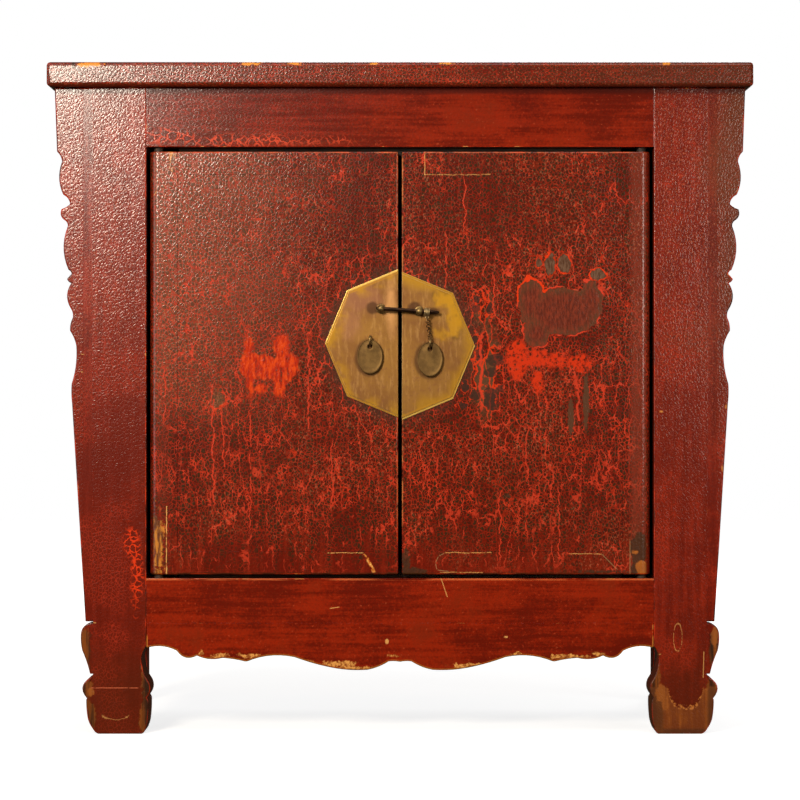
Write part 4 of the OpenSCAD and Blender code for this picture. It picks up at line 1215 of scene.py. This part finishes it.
def winding_tree():
    """A wire wound in a spiral along Z, centred on the origin."""
    tree, given = new_tree("winding", Radius=0.00505, Wire=0.00072, Length=0.0066, Turns=3.5)
    half = plant(tree, "ShaderNodeMath", {0: given["Length"], 1: -0.5}, operation="MULTIPLY")
    spiral = plant(tree, "GeometryNodeCurveSpiral",
                   {"Resolution": 30, "Rotations": given["Turns"], "Start Radius": given["Radius"],
                    "End Radius": given["Radius"], "Height": given["Length"]})
    swept = plant(tree, "GeometryNodeCurveToMesh",
                  {"Curve": spiral, "Profile Curve": circle(tree, 10, given["Wire"]),
                   "Fill Caps": True})
    down = plant(tree, "ShaderNodeCombineXYZ", {"Z": half})
    moved = plant(tree, "GeometryNodeTransform", {"Geometry": swept, "Translation": down})
    return finish_tree(tree, moved, PALE_BRONZE)


winding = grown(winding_tree(), Turns=3.5)
winding.transform(Vector((0, 0, 1)).rotation_difference(PIN_WAY).to_matrix().to_4x4())
winding.transform(Matrix.Translation(BEAD))
bm = bmesh.new()
sleeve = [(-3.9, 3.45), (-3.9, 4.7), (-3.6, 5.0), (3.6, 5.0), (3.9, 4.7), (3.9, 3.45)]
spun(bm, sleeve, BEAD, PIN_WAY, closed=True)
keep(bm, "bead_sleeve", DARK_BRONZE, "pin_chain", "pin_bead")
bm = bmesh.new()
bm.from_mesh(winding)
small_ring(bm, LOOP, LOOP_RADIUS)
keep(bm, "wound_bead", PALE_BRONZE, "pin_chain")
print("winding:", len(winding.polygons), "faces")

# %% Hang the chain between the bead's loop and its end link


def chain_tree():
    """Links along Z: every other one is turned by a quarter."""
    tree, given = new_tree("chain", Links=8, Step=0.0029, Radius=0.0022, Wire=0.00058)
    up = plant(tree, "ShaderNodeCombineXYZ", {"Z": given["Step"]})
    line = plant(tree, "GeometryNodeMeshLine", {"Count": given["Links"], "Offset": up},
                 mode="OFFSET")
    link = plant(tree, "GeometryNodeCurveToMesh",
                 {"Curve": circle(tree, 20, given["Radius"]),
                  "Profile Curve": circle(tree, 8, given["Wire"])})
    upright_link = plant(tree, "GeometryNodeTransform",
                         {"Geometry": link, "Rotation": (math.pi / 2, 0, 0)})
    index = plant(tree, "GeometryNodeInputIndex")
    odd = plant(tree, "ShaderNodeMath", {0: index, 1: 2.0}, operation="MODULO")
    turn = plant(tree, "ShaderNodeMath", {0: odd, 1: math.pi / 2}, operation="MULTIPLY")
    spin = plant(tree, "ShaderNodeCombineXYZ", {"Z": turn})
    placed = plant(tree, "GeometryNodeInstanceOnPoints",
                   {"Points": line, "Instance": upright_link, "Rotation": spin})
    return finish_tree(tree, placed, CHAIN)


way = LOOP - FOOT
links, touch = 8, 2.2 - 1.03 - 0.1
step = (way.length - (FOOT_RADIUS + LOOP_RADIUS + 2 * touch) / 1000) / (links - 1)
chain = grown(chain_tree(), Links=links, Step=step)
lean = Vector((0, 0, 1)).rotation_difference(way.normalized()).to_matrix().to_4x4()
chain.transform(Matrix.Translation(FOOT + way.normalized() * ((FOOT_RADIUS + touch) / 1000)) @ lean)
bm = bmesh.new()
bm.from_mesh(chain)
small_ring(bm, FOOT, FOOT_RADIUS)
keep(bm, "chain_links", CHAIN, "pin_chain", "pin_chain")
print("chain:", links, "links,", round(step * 1000, 2), "mm apart")

# %% [markdown]
# ## Floor, light and camera
#
# The sideboard stands on a plain pale floor in a white studio. A small warm soft box high on the
# left is what the lacquer mirrors in its upper left corner, where the left door also has a painted
# sheen. The larger ones stand where the front doesn't mirror them, or are hidden from reflections,
# so that the red stays deep.

# %% The floor

bm = bmesh.new()
bmesh.ops.create_circle(bm, cap_ends=True, radius=6.0, segments=96)
disc = put("studio_floor", mesh_of(bm, "studio_floor"))
pale = Finish("studio_floor", 0.9, Specular_IOR_Level=0.1, Emission_Strength=1.0)
pale.colour = pale.noise(0.6).mix((176, 176, 176), (182, 182, 182))
away = pale.vector("LENGTH", pale.place, output="Value")
glow = away.rise(0.5, 2.2).mix((0.78, 0.78, 0.78, 1), (1, 1, 1, 1))
pale.tree.links.new(glow.socket, pale.shader.inputs["Emission Color"])
disc.data.materials.append(pale.close())
disc.visible_glossy = False
disc.visible_diffuse = False

# %% The lights


def soft_light(name, at, to, wide, high, power, colour=(1, 1, 1)):
    """A soft box of a size in metres, turned to a point."""
    data = bpy.data.lights.new(name, "AREA")
    data.shape = "RECTANGLE"
    data.size, data.size_y = wide, high
    data.energy = power
    data.color = colour
    lamp = put(name, data)
    lamp.location = at
    lamp.rotation_euler = (Vector(to) - Vector(at)).to_track_quat("-Z", "Y").to_euler()
    return lamp


MIDDLE = (0, -0.1, 0.45)
soft_light("softbox_sheen", (-0.93, -2.3, 1.30), (-0.3, -0.2, 0.7), 0.54, 0.58, 59, (1, 0.89, 0.74))
soft_light("softbox_glint", (1.20, -2.3, 0.74), (0.3, -0.2, 0.6), 0.5, 0.6, 9, (1, 0.92, 0.8))
soft_light("softbox_left", (-2.9, -1.9, 0.9), MIDDLE, 1.4, 1.6, 14)
side_light = soft_light("softbox_right", (2.7, -2.1, 0.9), MIDDLE, 1.4, 1.6, 37)
side_light.visible_glossy = False
soft_light("softbox_high", (0.0, -1.5, 3.2), MIDDLE, 2.4, 1.2, 24)
soft_light("softbox_back", (0.6, 3.0, 2.0), (0, 0.1, 0.45), 2.0, 1.6, 60)

world = bpy.data.worlds.new("studio")
bpy.context.scene.world = world
world.use_nodes = True
tree = world.node_tree
ray = tree.nodes.new("ShaderNodeLightPath")
shade = tree.nodes.new("ShaderNodeMix")
shade.data_type = "RGBA"
shade.inputs[6].default_value = (0.030, 0.021, 0.013, 1)
shade.inputs[7].default_value = (1, 1, 1, 1)
tree.links.new(ray.outputs["Is Camera Ray"], shade.inputs[0])
tree.links.new(shade.outputs[2], tree.nodes["Background"].inputs["Color"])
print("studio: 6 soft boxes")

# %% The camera

DISTANCE = 3.8
camera_data = bpy.data.cameras.new("camera")
camera_data.sensor_width = 36
camera_data.lens = 36 * DISTANCE / 1.0354
camera_data.shift_y = -0.0154
camera_data.clip_start = 0.1
camera = put("camera", camera_data)
camera.location = (0.0, -0.23 - DISTANCE, 0.45)
camera.rotation_euler = (math.pi / 2, 0, 0)
bpy.context.scene.camera = camera
bpy.context.scene.view_settings.view_transform = "Standard"
print("camera:", round(camera_data.lens, 1), "mm lens,", DISTANCE, "m away")
